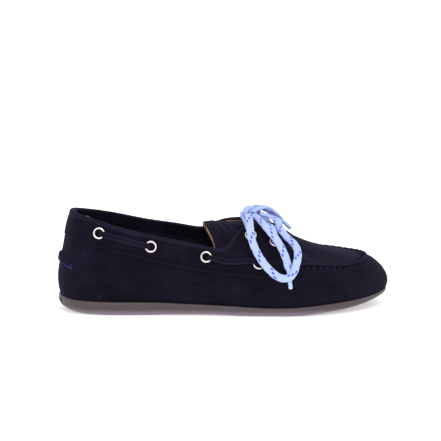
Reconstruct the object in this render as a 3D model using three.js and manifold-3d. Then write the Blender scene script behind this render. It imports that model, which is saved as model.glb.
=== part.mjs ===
// A right boat shoe in suede: hollow upper with collar band, wings and apron, tongue, rubber sole,
// insole, heel tab, metal eyelets, side thongs and a rope lace tied in a bow.
// Millimetres, +X to the toe, -Y the outer side of the foot, +Z up, the heel back near X = 0.
import * as THREE from 'three';
import { mergeVertices } from 'three/addons/utils/BufferGeometryUtils.js';
import Module from 'manifold-3d';

const wasm = await Module();
wasm.setup();

// Sizes of the last
const LENGTH = 258;
const BALL_WIDTH = 88;
const FEATHER_HEIGHT = 11;
const SEAM_HEIGHT = 39;
const COLLAR_HEIGHT = 78;
const INSTEP_HEIGHT = 70;

// Walls, steps and clearances
const GAP = 0.3;
const LACE_GAP = 1.0;
const UPPER_WALL = 1.8;
const BAND_STEP = 1.1;
const COUNTER_STEP = 0.6;
const SEAM_RIDGE = 1.6;
const SEAM_WIDTH = 3;
const STEP_RUN = 0.4;
const SOLE_EDGE = 2.2;
const INSOLE_THICKNESS = 3;
const TONGUE_THICKNESS = 2.4;
const TONGUE_GAP = 1.7;

// Eyelets, laces and heel tab
const EYELET_WIDTH = 9.4;
const EYELET_BORE = 5;
const EYELET_BARREL = 6.2;
const EYELET_RIM = 0.7;
const EYELET_SEAT = 0.8;
const EYELET_WASHER = 7.4;
const EYELET_SIDES = 10;
const THONG_WIDTH = 4.5;
const THONG_THICKNESS = 1.6;
const LACE_WIDTH = 6;
const LACE_THICKNESS = 2.8;
const AGLET_WIDTH = 3.2;
const TAB_THICKNESS = 1.4;

// Sections round the upper. Section 0 is the heel, section 16 the toe. Lengths are shares of LENGTH,
// widths of BALL_WIDTH, heights of the foot line of FEATHER_HEIGHT, of the seam line of SEAM_HEIGHT,
// and of the top line of COLLAR_HEIGHT up to the wings and of INSTEP_HEIGHT from there on.
// Angles are in degrees from upright: where the wall leaves the sole, where it reaches the seam line,
// where it leaves the seam line and where it reaches the top line. Steps are columns to the next row.
const TOE = 16;
const FIRST_WING = 7;
const OUTER_SIDE = table('footX footY footZ seamX seamY seamZ topX topY topZ flare lean rise arrive steps', [
  [0.014, 0.000, 1.14, 0.028, 0.000, 1.53, 0.045, 0.000, 1.000, 17, 7, 9, 14, 3],
  [0.043, -0.220, 1.06, 0.040, -0.150, 1.51, 0.054, -0.131, 0.990, 17, 7, 9, 14, 3],
  [0.114, -0.321, 1.00, 0.072, -0.252, 1.46, 0.086, -0.222, 0.968, 17, 7, 9, 13, 2],
  [0.200, -0.348, 0.97, 0.159, -0.343, 1.31, 0.172, -0.306, 0.885, 16, 6, 8, 12, 2],
  [0.295, -0.359, 0.94, 0.267, -0.389, 1.14, 0.275, -0.348, 0.800, 20, 8, 10, 14, 2],
  [0.380, -0.380, 0.86, 0.364, -0.419, 1.00, 0.368, -0.361, 0.740, 22, 10, 12, 18, 2],
  [0.457, -0.409, 0.79, 0.446, -0.445, 0.90, 0.446, -0.359, 0.680, 24, 12, 15, 22, 3],
  [0.519, -0.439, 0.73, 0.504, -0.466, 0.85, 0.490, -0.341, 0.742, 24, 14, 18, 26, 3],
  [0.570, -0.464, 0.67, 0.550, -0.481, 0.82, 0.523, -0.278, 0.828, 24, 16, 20, 40, 3],
  [0.616, -0.481, 0.63, 0.593, -0.489, 0.80, 0.561, -0.165, 0.962, 24, 18, 20, 52, 2],
  [0.659, -0.492, 0.62, 0.640, -0.492, 0.81, 0.609, -0.145, 0.945, 24, 20, 22, 56, 2],
  [0.713, -0.493, 0.65, 0.702, -0.473, 1.00, 0.674, -0.140, 0.840, 24, 24, 28, 60, 3],
  [0.783, -0.465, 0.75, 0.764, -0.441, 1.02, 0.692, -0.102, 0.820, 22, 36, 71, 54, 3],
  [0.853, -0.391, 0.85, 0.827, -0.389, 0.965, 0.697, -0.064, 0.817, 19, 50, 74, 56, 3],
  [0.915, -0.273, 0.93, 0.880, -0.295, 0.95, 0.699, -0.036, 0.815, 20, 61, 76, 59, 3],
  [0.963, -0.128, 1.04, 0.918, -0.168, 0.97, 0.700, -0.014, 0.814, 26, 69, 78, 61, 3],
  [0.992, 0.040, 1.18, 0.932, 0.028, 0.985, 0.700, 0.006, 0.814, 30, 74, 79, 61, 0],
]);

// The inner side of the foot, sections 1 to 15, with the same lengths and angles as the outer side
const INNER_SIDE = table('footY seamY seamZ topX topY topZ', [
  [0.218, 0.149, 1.51, 0.054, 0.131, 0.985],
  [0.316, 0.252, 1.46, 0.086, 0.222, 0.957],
  [0.333, 0.331, 1.33, 0.172, 0.304, 0.898],
  [0.320, 0.359, 1.18, 0.275, 0.334, 0.820],
  [0.305, 0.366, 1.05, 0.368, 0.336, 0.771],
  [0.307, 0.375, 0.97, 0.434, 0.323, 0.737],
  [0.327, 0.391, 0.93, 0.469, 0.290, 0.858],
  [0.358, 0.414, 0.91, 0.502, 0.205, 0.935],
  [0.390, 0.432, 0.90, 0.543, 0.145, 0.968],
  [0.423, 0.448, 0.91, 0.597, 0.140, 0.952],
  [0.457, 0.455, 1.02, 0.667, 0.136, 0.875],
  [0.472, 0.436, 1.03, 0.688, 0.109, 0.837],
  [0.443, 0.390, 1.01, 0.695, 0.077, 0.827],
  [0.364, 0.307, 0.985, 0.698, 0.048, 0.820],
  [0.227, 0.203, 0.98, 0.700, 0.025, 0.816],
]);

// The tread at each section: its height, flat on the floor where it is under zero, how far it tucks
// in under the sole's edge, both as shares of FEATHER_HEIGHT, and the edge as a share of SOLE_EDGE
const TREAD = table('height tuck edge', [
  [-0.04, 0.80, 0.9], [-0.04, 0.70, 1.0], [-0.04, 0.45, 1.0], [-0.04, 0.32, 1.0], [0.02, 0.30, 1.0],
  [0.06, 0.30, 1.0], [0.06, 0.30, 1.0], [0.02, 0.30, 1.0], [-0.04, 0.30, 1.0], [-0.04, 0.30, 1.0],
  [-0.04, 0.30, 1.0], [-0.02, 0.30, 1.0], [0.12, 0.30, 0.9], [0.25, 0.30, 0.75], [0.40, 0.34, 0.55],
  [0.58, 0.38, 0.35], [0.73, 0.42, 0.25],
]);

// The side of the sole from its top to the tread: share of the edge outwards, share of TREAD tuck
// inwards, and height as a share of the sole's thickness there
const SOLE_SIDE = table('out tuck height', [
  [0.60, 0, 1.00],
  [0.95, 0.01, 0.90],
  [1.00, 0.07, 0.62],
  [0.90, 0.24, 0.36],
  [0.50, 0.56, 0.14],
  [0, 1, 0],
]);

// Columns where an overlay ends: the heel counter's front edge and the wings' front edge
const COUNTER_END = 2;
const WING_END = 11;
const EDGE_SPLIT = 0.03;

// Eyelets: section and share of the way from the seam line to the top line. In the throat the rear
// bar slants, so its inner eyelet sits ahead of the outer one by a share of a section.
const SIDE_EYELETS = table('section share', [[2.58, 0.56], [4.05, 0.57], [5.91, 0.585], [9.19, 0.21]]);
const THROAT_EYELETS = table('section share ahead', [[9.13, 0.745, 0.33], [10.38, 0.63, 0]]);

// Thongs: the side eyelets that they join
const THONGS = table('first second', [[1, 2], [3, 4]]);

// The tongue from its rear edge to the throat's front: section, how far its sides reach down the
// wings, and its ridge as shares of LENGTH and INSTEP_HEIGHT
const TONGUE_BACK = table('section depth ridgeX ridgeZ', [
  [6.5, 0.40, 0.442, 0.967],
  [7.0, 0.38, 0.463, 0.974],
  [7.6, 0.36, 0.492, 0.977],
  [8.3, 0.36, 0.525, 0.971],
  [9.2, 0.38, 0.566, 0.955],
  [10.2, 0.40, 0.620, 0.895],
  [11.0, 0.38, 0.672, 0.812],
]);
// Its front end under the apron: section, and how far its sides and its middle run in under the edge
const TONGUE_FRONT = table('section depth middle', [
  [12.3, 0.16, 0.05],
  [13.6, 0.14, 0.11],
]);
const TONGUE_HALF = 8;
const TONGUE_FOLLOW = 4;
const TONGUE_ARC = 8;

// The heel tab: its lower and upper edge as shares of the wall's height, at the back and at its ends
const TAB_REACH = 1.2;
const TAB_STEPS = 10;
const TAB_BACK = { low: 0.57, high: 0.70 };
const TAB_END = { low: 0.54, high: 0.65 };

function table(names, rows) {
  const columns = names.split(' ');
  return rows.map((row) => Object.fromEntries(columns.map((name, place) => [name, row[place]])));
}

// A smooth closed curve through values that are one section apart
function throughRing(values) {
  const count = values.length;
  const control = [...values];
  for (let pass = 0; pass < 60; pass += 1) {
    for (let i = 0; i < count; i += 1) {
      control[i] = (6 * values[i] - control[(i + count - 1) % count] - control[(i + 1) % count]) / 4;
    }
  }
  return (u) => {
    const i = Math.floor(u);
    const t = u - i;
    const at = (step) => control[(((i + step) % count) + count) % count];
    const blend = [(1 - t) ** 3, 3 * t ** 3 - 6 * t ** 2 + 4, -3 * t ** 3 + 3 * t ** 2 + 3 * t + 1, t ** 3];
    return blend.reduce((sum, weight, step) => sum + weight * at(step - 1), 0) / 6;
  };
}

const RING = 2 * TOE;
const PROBE = 0.02;
const fold = (u) => (u <= TOE ? u : RING - u);
const sections = [...Array(RING).keys()].map((place) => {
  const section = fold(place);
  const outer = OUTER_SIDE[section];
  const side = place > TOE ? { ...outer, ...INNER_SIDE[section - 1] } : outer;
  return { ...side, topHeight: section < FIRST_WING ? COLLAR_HEIGHT : INSTEP_HEIGHT, ...TREAD[section] };
});

function rail(x, y, z, heightOf) {
  const curves = [
    throughRing(sections.map((row) => row[x] * LENGTH)),
    throughRing(sections.map((row) => row[y] * BALL_WIDTH)),
    throughRing(sections.map((row) => row[z] * heightOf(row))),
  ];
  return (u) => new THREE.Vector3(...curves.map((curve) => curve(u)));
}

const footLine = rail('footX', 'footY', 'footZ', () => FEATHER_HEIGHT);
const seamLine = rail('seamX', 'seamY', 'seamZ', () => SEAM_HEIGHT);
const topLine = rail('topX', 'topY', 'topZ', (row) => row.topHeight);
const angles = Object.fromEntries(['flare', 'lean', 'rise', 'arrive'].map((name) => [
  name, throughRing(sections.map((row) => THREE.MathUtils.degToRad(row[name])))]));
const treadHeight = throughRing(sections.map((row) => row.height * FEATHER_HEIGHT));
const treadTuck = throughRing(sections.map((row) => row.tuck * FEATHER_HEIGHT));
const soleEdge = throughRing(sections.map((row) => row.edge * SOLE_EDGE));

// The level direction out of the shoe at a place on the foot line
function outwards(u) {
  const ahead = footLine(u + PROBE).sub(footLine(u - PROBE));
  return new THREE.Vector3(ahead.y, -ahead.x, 0).normalize();
}

function tilted(direction, angle) {
  return direction.clone().multiplyScalar(Math.sin(angle)).setZ(Math.cos(angle));
}

const HANDLE = 0.38;
function arc(start, end, leaving, arriving, share) {
  const reach = start.distanceTo(end) * HANDLE;
  const first = start.clone().addScaledVector(leaving, reach);
  const second = end.clone().addScaledVector(arriving, -reach);
  return new THREE.CubicBezierCurve3(start, first, second, end).getPoint(share);
}

// The last: v runs from 0 at the foot line to 1 at the seam line and 2 at the top line
function last(u, v) {
  const seam = seamLine(u);
  if (v <= 1) {
    const out = outwards(u);
    return arc(footLine(u), seam, tilted(out, angles.flare(u)), tilted(out, -angles.lean(u)), v);
  }
  const top = topLine(u);
  const across = top.clone().sub(seam).setZ(0).normalize();
  return arc(seam, top, tilted(across, angles.rise(u)), tilted(across, angles.arrive(u)), v - 1);
}

function normalAt(u, v) {
  const low = Math.max(v - PROBE, 0);
  const high = Math.min(v + PROBE, 2);
  const along = last(u + PROBE, v).sub(last(u - PROBE, v));
  return along.cross(last(u, high).sub(last(u, low))).normalize();
}

// A point on the last moved out of its surface
function skin(u, v, lift) {
  return last(u, v).addScaledVector(normalAt(u, v), lift);
}

// How far the outer wall stands proud of the last
function overlay(u, v) {
  const section = fold(u);
  if (v > 1) return section < WING_END ? BAND_STEP : 0;
  return section < COUNTER_END ? COUNTER_STEP : 0;
}

// Columns round the shoe, closer where an overlay ends
const columns = [];
for (let section = 0; section < TOE; section += 1) {
  const { steps } = OUTER_SIDE[section];
  const split = section === COUNTER_END || section === WING_END;
  for (let step = 0; step < steps; step += 1) {
    if (step === 0 && split) columns.push(section - EDGE_SPLIT, section + EDGE_SPLIT);
    else columns.push(section + step / steps);
  }
}
const ROUND = [...columns, TOE, ...columns.slice(1).reverse().map((u) => RING - u)];

// A closed body from its points and triangles, with its faces turned out
function bodyOf(points, faces) {
  let volume = 0;
  for (const [a, b, c] of faces) {
    volume += points[a].dot(new THREE.Vector3().crossVectors(points[b], points[c]));
  }
  const geometry = new THREE.BufferGeometry().setFromPoints(points);
  geometry.setIndex(faces.flatMap(([a, b, c]) => (volume < 0 ? [a, c, b] : [a, b, c])));
  geometry.computeVertexNormals();
  return geometry;
}

// Triangles between rings of points. With no caps the last ring joins the first. A cap joins each
// point of an end ring to the one across it: mirror is the number that two such places add up to.
function ringsToBody(rings, mirror = null) {
  const count = rings[0].length;
  const strips = mirror === null ? rings.length : rings.length - 1;
  const faces = [];
  for (let row = 0; row < strips; row += 1) {
    const here = row * count;
    const next = ((row + 1) % rings.length) * count;
    for (let i = 0; i < count; i += 1) {
      const j = (i + 1) % count;
      faces.push([here + i, here + j, next + j], [here + i, next + j, next + i]);
    }
  }
  if (mirror !== null) {
    const top = (rings.length - 1) * count;
    for (let i = 0; i < count / 2; i += 1) {
      const [a, b] = [i, i + 1];
      const [farA, farB] = [(mirror - a + count) % count, (mirror - b + count) % count];
      for (const [p, q, r] of [[a, b, farB], [a, farB, farA]]) {
        if (p !== q && q !== r && p !== r) faces.push([q, p, r], [top + p, top + q, top + r]);
      }
    }
  }
  return bodyOf(rings.flat(), faces);
}

function solidOf(geometry) {
  const bare = geometry.clone();
  bare.deleteAttribute('normal');
  bare.deleteAttribute('uv');
  const merged = mergeVertices(bare, 1e-4);
  return new wasm.Manifold(new wasm.Mesh({
    numProp: 3,
    vertProperties: Float32Array.from(merged.attributes.position.array),
    triVerts: Uint32Array.from(merged.index.array),
  }));
}

function geometryOf(solid) {
  const { vertProperties, triVerts } = solid.getMesh();
  const geometry = new THREE.BufferGeometry();
  geometry.setAttribute('position', new THREE.BufferAttribute(Float32Array.from(vertProperties), 3));
  geometry.setIndex([...triVerts]);
  geometry.computeVertexNormals();
  return geometry;
}

function makeMesh(name, geometry, material) {
  const mesh = new THREE.Mesh(geometry, new THREE.MeshStandardMaterial(material));
  mesh.name = name;
  return mesh;
}

const SUEDE = { color: 0x1f1d33, roughness: 0.95, metalness: 0 };
const RUBBER = { color: 0x6e6068, roughness: 0.55, metalness: 0 };
const LINING = { color: 0x9a7a58, roughness: 0.85, metalness: 0 };
const NICKEL = { color: 0xd8d4cc, roughness: 0.3, metalness: 1 };
const ROPE = { color: 0xc3d7fa, roughness: 0.8, metalness: 0 };

// The upper: one wall from the foot line to the top line, with an outer face that carries the steps
// of counter, band and wings and the raised seam, and an inner face one wall deeper
function upperBody() {
  const outer = [0, 0.16, 0.34, 0.52, 0.7].map((v) => ROUND.map((u) => skin(u, v, overlay(u, v))));
  const seam = [[-SEAM_WIDTH, 0], [-STEP_RUN, SEAM_RIDGE], [STEP_RUN, SEAM_RIDGE], [SEAM_WIDTH, 0]];
  for (const [away, ridge] of seam) {
    outer.push(ROUND.map((u) => {
      const wall = away < 0 ? seamLine(u).distanceTo(footLine(u)) : seamLine(u).distanceTo(topLine(u));
      const v = 1 + away / wall;
      return skin(u, v, fold(u) > WING_END ? ridge : overlay(u, v));
    }));
  }
  for (const v of [1.28, 1.52, 1.76, 2]) outer.push(ROUND.map((u) => skin(u, v, overlay(u, v))));
  const inner = [2, 1.75, 1.5, 1.25, 1, 0.66, 0.33].map((v) => ROUND.map((u) => skin(u, v, -UPPER_WALL)));
  inner.push(ROUND.map((u) => footLine(u).addScaledVector(outwards(u), -UPPER_WALL)));
  return ringsToBody([...outer, ...inner]);
}

// The place of an eyelet: a frame on the last whose Z points out of the wall
function seatOf({ section, share, ahead = 0 }, side) {
  const u = side < 0 ? section : RING - section - ahead;
  const v = 1 + share;
  const turn = new THREE.Quaternion().setFromUnitVectors(new THREE.Vector3(0, 0, 1), normalAt(u, v));
  return { u, v, centre: last(u, v), turn };
}

const SIDES = [[-1, 'outer'], [1, 'inner']];
const EYELET_ROWS = [['side', SIDE_EYELETS], ['throat', THROAT_EYELETS]];
const eyeletSeats = SIDES.flatMap(([side, sideName]) => (
  EYELET_ROWS.flatMap(([kind, rows]) => rows.map((row, place) => ({
    name: `eyelet_${kind}_${sideName}_${place + 1}`, ...seatOf(row, side) })))));

function withHoles(geometry) {
  let solid = solidOf(geometry);
  const depth = 4 * (UPPER_WALL + BAND_STEP);
  const radius = EYELET_BARREL / 2 + GAP;
  for (const { centre, turn } of eyeletSeats) {
    const drill = new THREE.CylinderGeometry(radius, radius, depth, EYELET_SIDES);
    drill.rotateX(Math.PI / 2).applyQuaternion(turn).translate(...centre);
    solid = solid.subtract(solidOf(drill));
  }
  return geometryOf(solid);
}

// A rolled ring: rim outside the wall, barrel through it and washer inside
function eyeletGeometry() {
  const bore = EYELET_BORE / 2;
  const barrel = EYELET_BARREL / 2;
  const rim = EYELET_WIDTH / 2;
  const seat = BAND_STEP + EYELET_SEAT;
  const edge = EYELET_WASHER / 2;
  const washer = -UPPER_WALL - EYELET_SEAT;
  const profile = [
    [bore, washer - EYELET_RIM / 2], [edge, washer - EYELET_RIM / 2], [edge, washer], [barrel, washer],
    [barrel, seat], [rim, seat], [(rim + barrel) / 2, seat + EYELET_RIM], [bore, seat + EYELET_RIM / 2],
  ].map(([r, z]) => new THREE.Vector2(r, z));
  return new THREE.LatheGeometry([...profile, profile[0]], EYELET_SIDES).rotateX(Math.PI / 2);
}

function eyelets() {
  return eyeletSeats.map(({ name, centre, turn }) => {
    const mesh = makeMesh(name, eyeletGeometry(), NICKEL);
    mesh.position.copy(centre);
    mesh.quaternion.copy(turn);
    return mesh;
  });
}

function outsoleBody() {
  return ringsToBody(SOLE_SIDE.map((row) => ROUND.map((u) => {
    const low = Math.max(treadHeight(u), 0);
    const high = footLine(u).z - GAP;
    const out = row.out * soleEdge(u) - row.tuck * treadTuck(u);
    return footLine(u).addScaledVector(outwards(u), out).setZ(low + (high - low) * row.height);
  })), 0);
}

function insoleBody() {
  const inset = UPPER_WALL + GAP;
  return ringsToBody([0, INSOLE_THICKNESS].map((lift) => ROUND.map((u) => (
    footLine(u).addScaledVector(outwards(u), -inset).add(new THREE.Vector3(0, 0, lift))))), 0);
}

// Evenly spaced points along a chain of points
function respaced(points, count) {
  const chain = new THREE.CurvePath();
  for (let i = 1; i < points.length; i += 1) chain.add(new THREE.LineCurve3(points[i - 1], points[i]));
  return chain.getSpacedPoints(count - 1);
}

// The tongue's top face on one side: up the inside of the wing and over to the ridge
function tongueHalf(u, depth, follow, middle, ridgeRun) {
  const under = -UPPER_WALL - TONGUE_GAP;
  const chain = [...Array(follow).keys()].map((i) => skin(u, 2 - depth + (depth * i) / follow, under));
  const from = skin(u, follow ? 2 : 2 - depth, under);
  const before = skin(u, (follow ? 2 : 2 - depth) - PROBE, under);
  const leaving = from.clone().sub(before).normalize();
  for (let i = 0; i <= TONGUE_ARC; i += 1) {
    chain.push(arc(from, middle, leaving, ridgeRun, i / TONGUE_ARC));
  }
  return respaced(chain, TONGUE_HALF);
}

function tongueTop() {
  const across = [new THREE.Vector3(0, 1, 0), new THREE.Vector3(0, -1, 0)];
  const row = (section, depth, follow, middle) => {
    const outer = tongueHalf(section, depth, follow, middle, across[0]);
    const inner = tongueHalf(RING - section, depth, follow, middle, across[1]);
    return [...outer, ...inner.reverse().slice(1)];
  };
  const back = TONGUE_BACK.map(({ section, depth, ridgeX, ridgeZ }) => (
    row(section, depth, TONGUE_FOLLOW, new THREE.Vector3(ridgeX * LENGTH, 0, ridgeZ * INSTEP_HEIGHT))));
  const front = TONGUE_FRONT.map(({ section, depth, middle }) => (
    row(section, depth, 0, skin(TOE, 2 - middle, -UPPER_WALL - TONGUE_GAP))));
  return [...back, ...front];
}

// A sheet of even thickness below a net of points
function sheetBody(net, thickness) {
  const rings = net.map((row, i) => {
    const under = row.map((point, j) => {
      const ahead = net[Math.min(i + 1, net.length - 1)][j].clone().sub(net[Math.max(i - 1, 0)][j]);
      const aside = row[Math.min(j + 1, row.length - 1)].clone().sub(row[Math.max(j - 1, 0)]);
      return point.clone().addScaledVector(ahead.cross(aside).normalize(), -thickness);
    });
    return [...row, ...under.reverse()];
  });
  return ringsToBody(rings, 2 * net[0].length - 1);
}

// A flat strip with blunt edges along points, each with the direction that its face looks in
function stripBody(points, facing, width, thickness) {
  const shape = [
    [-0.5, -0.3], [-0.3, -0.5], [0.3, -0.5], [0.5, -0.3], [0.5, 0.3], [0.3, 0.5], [-0.3, 0.5], [-0.5, 0.3]];
  const rings = points.map((point, i) => {
    const ahead = points[Math.min(i + 1, points.length - 1)].clone().sub(points[Math.max(i - 1, 0)]);
    const side = ahead.cross(facing[i]).normalize();
    return shape.map(([across, up]) => point.clone()
      .addScaledVector(side, across * width)
      .addScaledVector(facing[i], up * thickness));
  });
  return ringsToBody(rings, shape.length - 1);
}

// A thong runs outside the band from one side eyelet to the next and over their rims at its ends
const THONG_STEPS = 9;
const OVER_RIM = 0.2;
function thong(name, from, to) {
  const low = BAND_STEP + GAP + THONG_THICKNESS / 2;
  const high = low + EYELET_SEAT + EYELET_RIM;
  const points = [];
  const facing = [];
  for (let i = 0; i <= THONG_STEPS; i += 1) {
    const t = i / THONG_STEPS;
    const u = THREE.MathUtils.lerp(from.u, to.u, t);
    const v = THREE.MathUtils.lerp(from.v, to.v, t);
    points.push(skin(u, v, Math.min(t, 1 - t) < OVER_RIM ? high : low));
    facing.push(normalAt(u, v));
  }
  return makeMesh(name, stripBody(points, facing, THONG_WIDTH, THONG_THICKNESS), SUEDE);
}

const seatNamed = (name) => eyeletSeats.find((seat) => seat.name === name);
function thongs() {
  return SIDES.flatMap(([, side]) => THONGS.map(({ first, second }, place) => {
    const [from, to] = [first, second].map((number) => seatNamed(`eyelet_side_${side}_${number}`));
    return thong(`thong_${side}_${place + 1}`, from, to);
  }));
}

// A bar of the lace from one throat eyelet over the wings' edges and the tongue to the one across
const BAR_STEPS = 16;
function laceBar(name, place) {
  const [outer, inner] = SIDES.map(([, side]) => seatNamed(`eyelet_throat_${side}_${place}`));
  const onEyelet = BAND_STEP + EYELET_SEAT + EYELET_RIM + LACE_GAP + LACE_THICKNESS / 2;
  const onWing = BAND_STEP + LACE_GAP + LACE_THICKNESS / 2;
  const climb = ({ u, v }) => [
    skin(u, v, onEyelet), skin(u, (v + 2) / 2, (onEyelet + onWing) / 2), skin(u, 2, onWing)];
  const up = climb(outer);
  const down = climb(inner).reverse();
  const crest = ridgeHeight(up[2].x) + LACE_GAP + LACE_THICKNESS / 2;
  const overTongue = up[2].clone().lerp(down[0], 0.5).setZ(crest);
  const route = new THREE.CatmullRomCurve3([...up, overTongue, ...down], false, 'centripetal');
  const points = route.getSpacedPoints(BAR_STEPS);
  const along = (i) => points[Math.min(i + 1, points.length - 1)].clone().sub(points[Math.max(i - 1, 0)]);
  const slope = new THREE.Vector3(1, 0, ridgeHeight(overTongue.x + 1) - ridgeHeight(overTongue.x));
  const facing = points.map((point, i) => slope.clone().cross(along(i)).normalize());
  return makeMesh(name, stripBody(points, facing, LACE_WIDTH, LACE_THICKNESS), ROPE);
}

// The height of the tongue's ridge at a distance from the heel
function ridgeHeight(x) {
  const next = TONGUE_BACK.findIndex((row) => row.ridgeX * LENGTH > x);
  const [a, b] = [TONGUE_BACK[next - 1], TONGUE_BACK[next]];
  const share = (x / LENGTH - a.ridgeX) / (b.ridgeX - a.ridgeX);
  return THREE.MathUtils.lerp(a.ridgeZ, b.ridgeZ, share) * INSTEP_HEIGHT;
}

// The lace's free stretches, as points in millimetres from the heel back, the middle and the floor
const KNOT = { centre: [150.5, -1, 75.3], radii: [6, 7, 4.2] };
const LOOP_NEAR = [
  [148, -9.2, 73.3], [147.8, -17.8, 74.2], [147.9, -26.6, 69.1], [148.5, -32.4, 61.2], [151.3, -38, 52.6],
  [157.1, -45.4, 43], [163.9, -47, 35.6], [170, -49, 31.9], [175.4, -50.7, 32], [179.6, -48.4, 35],
  [182.6, -44.6, 42.4], [184.1, -38.6, 47.5], [182.8, -29.2, 53], [176.2, -21, 58.9], [172.6, -14.4, 63],
  [171.9, -8.4, 64.6], [171.4, -4.6, 67.8], [168.3, -2.8, 70], [163.2, -1.8, 71.7], [158, -1, 73.2],
];
const LOOP_FAR = [
  [153.2, 7.2, 73.2], [154.6, 11, 74.4], [156.6, 16, 75.4], [157.4, 23.2, 71.8], [157.4, 29.6, 65.4],
  [157.2, 34.4, 53.2], [158.6, 39.6, 45.5], [161.6, 43.2, 39], [166.5, 45.2, 35.2], [171.6, 44.9, 36.6],
  [175.2, 42.6, 41.8], [176.9, 38, 48.2], [176, 32, 54.1], [173.5, 27.2, 61.2], [169.4, 22, 68.8],
  [163.9, 17, 72.8], [159.4, 13, 75.6], [156.2, 9, 77], [154.7, 5.4, 77.1],
];
const END_NEAR = [
  [154.9, -8.6, 71.4], [157.4, -17, 70], [162.8, -28.8, 64.7], [168.4, -33.6, 58], [172.9, -37.5, 50],
  [175.4, -41.8, 42.9], [176, -45, 39.2],
];
const END_FAR = [
  [158, 0.6, 77.2], [161.5, 2.5, 77.7], [165.5, 5, 75.7], [170.2, 7, 71.8], [174, 8, 67.8],
];
const AGLET_NEAR = [[176.1, -45.6, 38.6], [177.8, -48.3, 23.2]];
const AGLET_FAR = [[174.3, 8.1, 67.3], [182.4, 9.5, 59.2]];
const LACE_SIDES = 8;
const LACE_STEPS = { loopNear: 30, loopFar: 24, endNear: 12, endFar: 8 };
const LAST_AXIS_HEIGHT = 30;

// The lace lies with its flat side on the shoe, so its section is turned to face away from the foot
class LaceRoute extends THREE.CatmullRomCurve3 {
  computeFrenetFrames(segments) {
    const places = [...Array(segments + 1).keys()].map((i) => i / segments);
    const tangents = places.map((t) => this.getTangentAt(t));
    const binormals = places.map((t, i) => {
      const { y, z } = this.getPointAt(t);
      const away = new THREE.Vector3(0, y, z - LAST_AXIS_HEIGHT);
      return away.addScaledVector(tangents[i], -away.dot(tangents[i])).normalize();
    });
    const normals = tangents.map((tangent, i) => binormals[i].clone().cross(tangent));
    return { tangents, normals, binormals };
  }
}

function laceStretch(name, route, steps) {
  const section = new THREE.Shape([...Array(LACE_SIDES).keys()].map((i) => {
    const turn = (2 * Math.PI * (i + 0.5)) / LACE_SIDES;
    return new THREE.Vector2(Math.cos(turn) * LACE_WIDTH / 2, Math.sin(turn) * LACE_THICKNESS / 2);
  }));
  const path = new LaceRoute(route.map((point) => new THREE.Vector3(...point)), false, 'centripetal');
  return makeMesh(name, new THREE.ExtrudeGeometry(section, { steps, extrudePath: path }), ROPE);
}

function aglet(name, ends) {
  const [start, end] = ends.map((point) => new THREE.Vector3(...point));
  const length = start.distanceTo(end);
  const tube = new THREE.CylinderGeometry(AGLET_WIDTH / 2, AGLET_WIDTH / 2, length, LACE_SIDES);
  const mesh = makeMesh(name, tube, ROPE);
  mesh.position.copy(start).lerp(end, 0.5);
  mesh.quaternion.setFromUnitVectors(new THREE.Vector3(0, 1, 0), end.sub(start).normalize());
  return mesh;
}

function knot() {
  const mesh = makeMesh('lace_knot', new THREE.SphereGeometry(1, 12, 8), ROPE);
  mesh.scale.set(...KNOT.radii);
  mesh.position.set(...KNOT.centre);
  return mesh;
}

// The heel tab: a folded strip round the back of the counter
function heelTab() {
  const net = [...Array(TAB_STEPS + 1).keys()].map((i) => {
    const u = THREE.MathUtils.lerp(-TAB_REACH, TAB_REACH, i / TAB_STEPS);
    const spread = (u / TAB_REACH) ** 2;
    const low = THREE.MathUtils.lerp(TAB_BACK.low, TAB_END.low, spread);
    const high = THREE.MathUtils.lerp(TAB_BACK.high, TAB_END.high, spread);
    const face = COUNTER_STEP + GAP;
    const heights = [low, (low + high) / 2, high];
    const near = heights.map((v) => skin((u + RING) % RING, v, face));
    const far = heights.map((v) => skin((u + RING) % RING, v, face + TAB_THICKNESS));
    return [...near, ...far.reverse()];
  });
  return makeMesh('heel_tab', ringsToBody(net, 5), SUEDE);
}

const shoe = new THREE.Group();
shoe.add(
  makeMesh('outsole', outsoleBody(), RUBBER),
  makeMesh('insole', insoleBody(), LINING),
  makeMesh('upper', withHoles(upperBody()), SUEDE),
  makeMesh('tongue', sheetBody(tongueTop(), TONGUE_THICKNESS), SUEDE),
  heelTab(),
  ...eyelets(),
  ...thongs(),
  laceBar('lace_bar_rear', 1),
  laceBar('lace_bar_front', 2),
);

// The origin is under the middle of the shoe without its bow, on the floor
shoe.updateMatrixWorld(true);
const box = new THREE.Box3().setFromObject(shoe, true);
const middle = box.getCenter(new THREE.Vector3());
shoe.position.set(-middle.x, -middle.y, -box.min.z);
shoe.add(
  knot(),
  laceStretch('lace_loop_near', LOOP_NEAR, LACE_STEPS.loopNear),
  laceStretch('lace_loop_far', LOOP_FAR, LACE_STEPS.loopFar),
  laceStretch('lace_end_near', END_NEAR, LACE_STEPS.endNear),
  laceStretch('lace_end_far', END_FAR, LACE_STEPS.endFar),
  aglet('aglet_near', AGLET_NEAR),
  aglet('aglet_far', AGLET_FAR),
);

export default shoe;
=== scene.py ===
# %% [markdown]
# # A suede boat shoe with a rope lace
# This lesson dresses the plain solids of a boat shoe: suede panels, a gathered apron seam, a rubber
# sole, nickel eyelets, stitches and a rope lace in a bow. The solids come first, because every piece
# of the lesson lies where one of them lies and hides it.

# %% The solids
import math
import bpy
import numpy as np
from mathutils import Matrix, Vector


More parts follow.
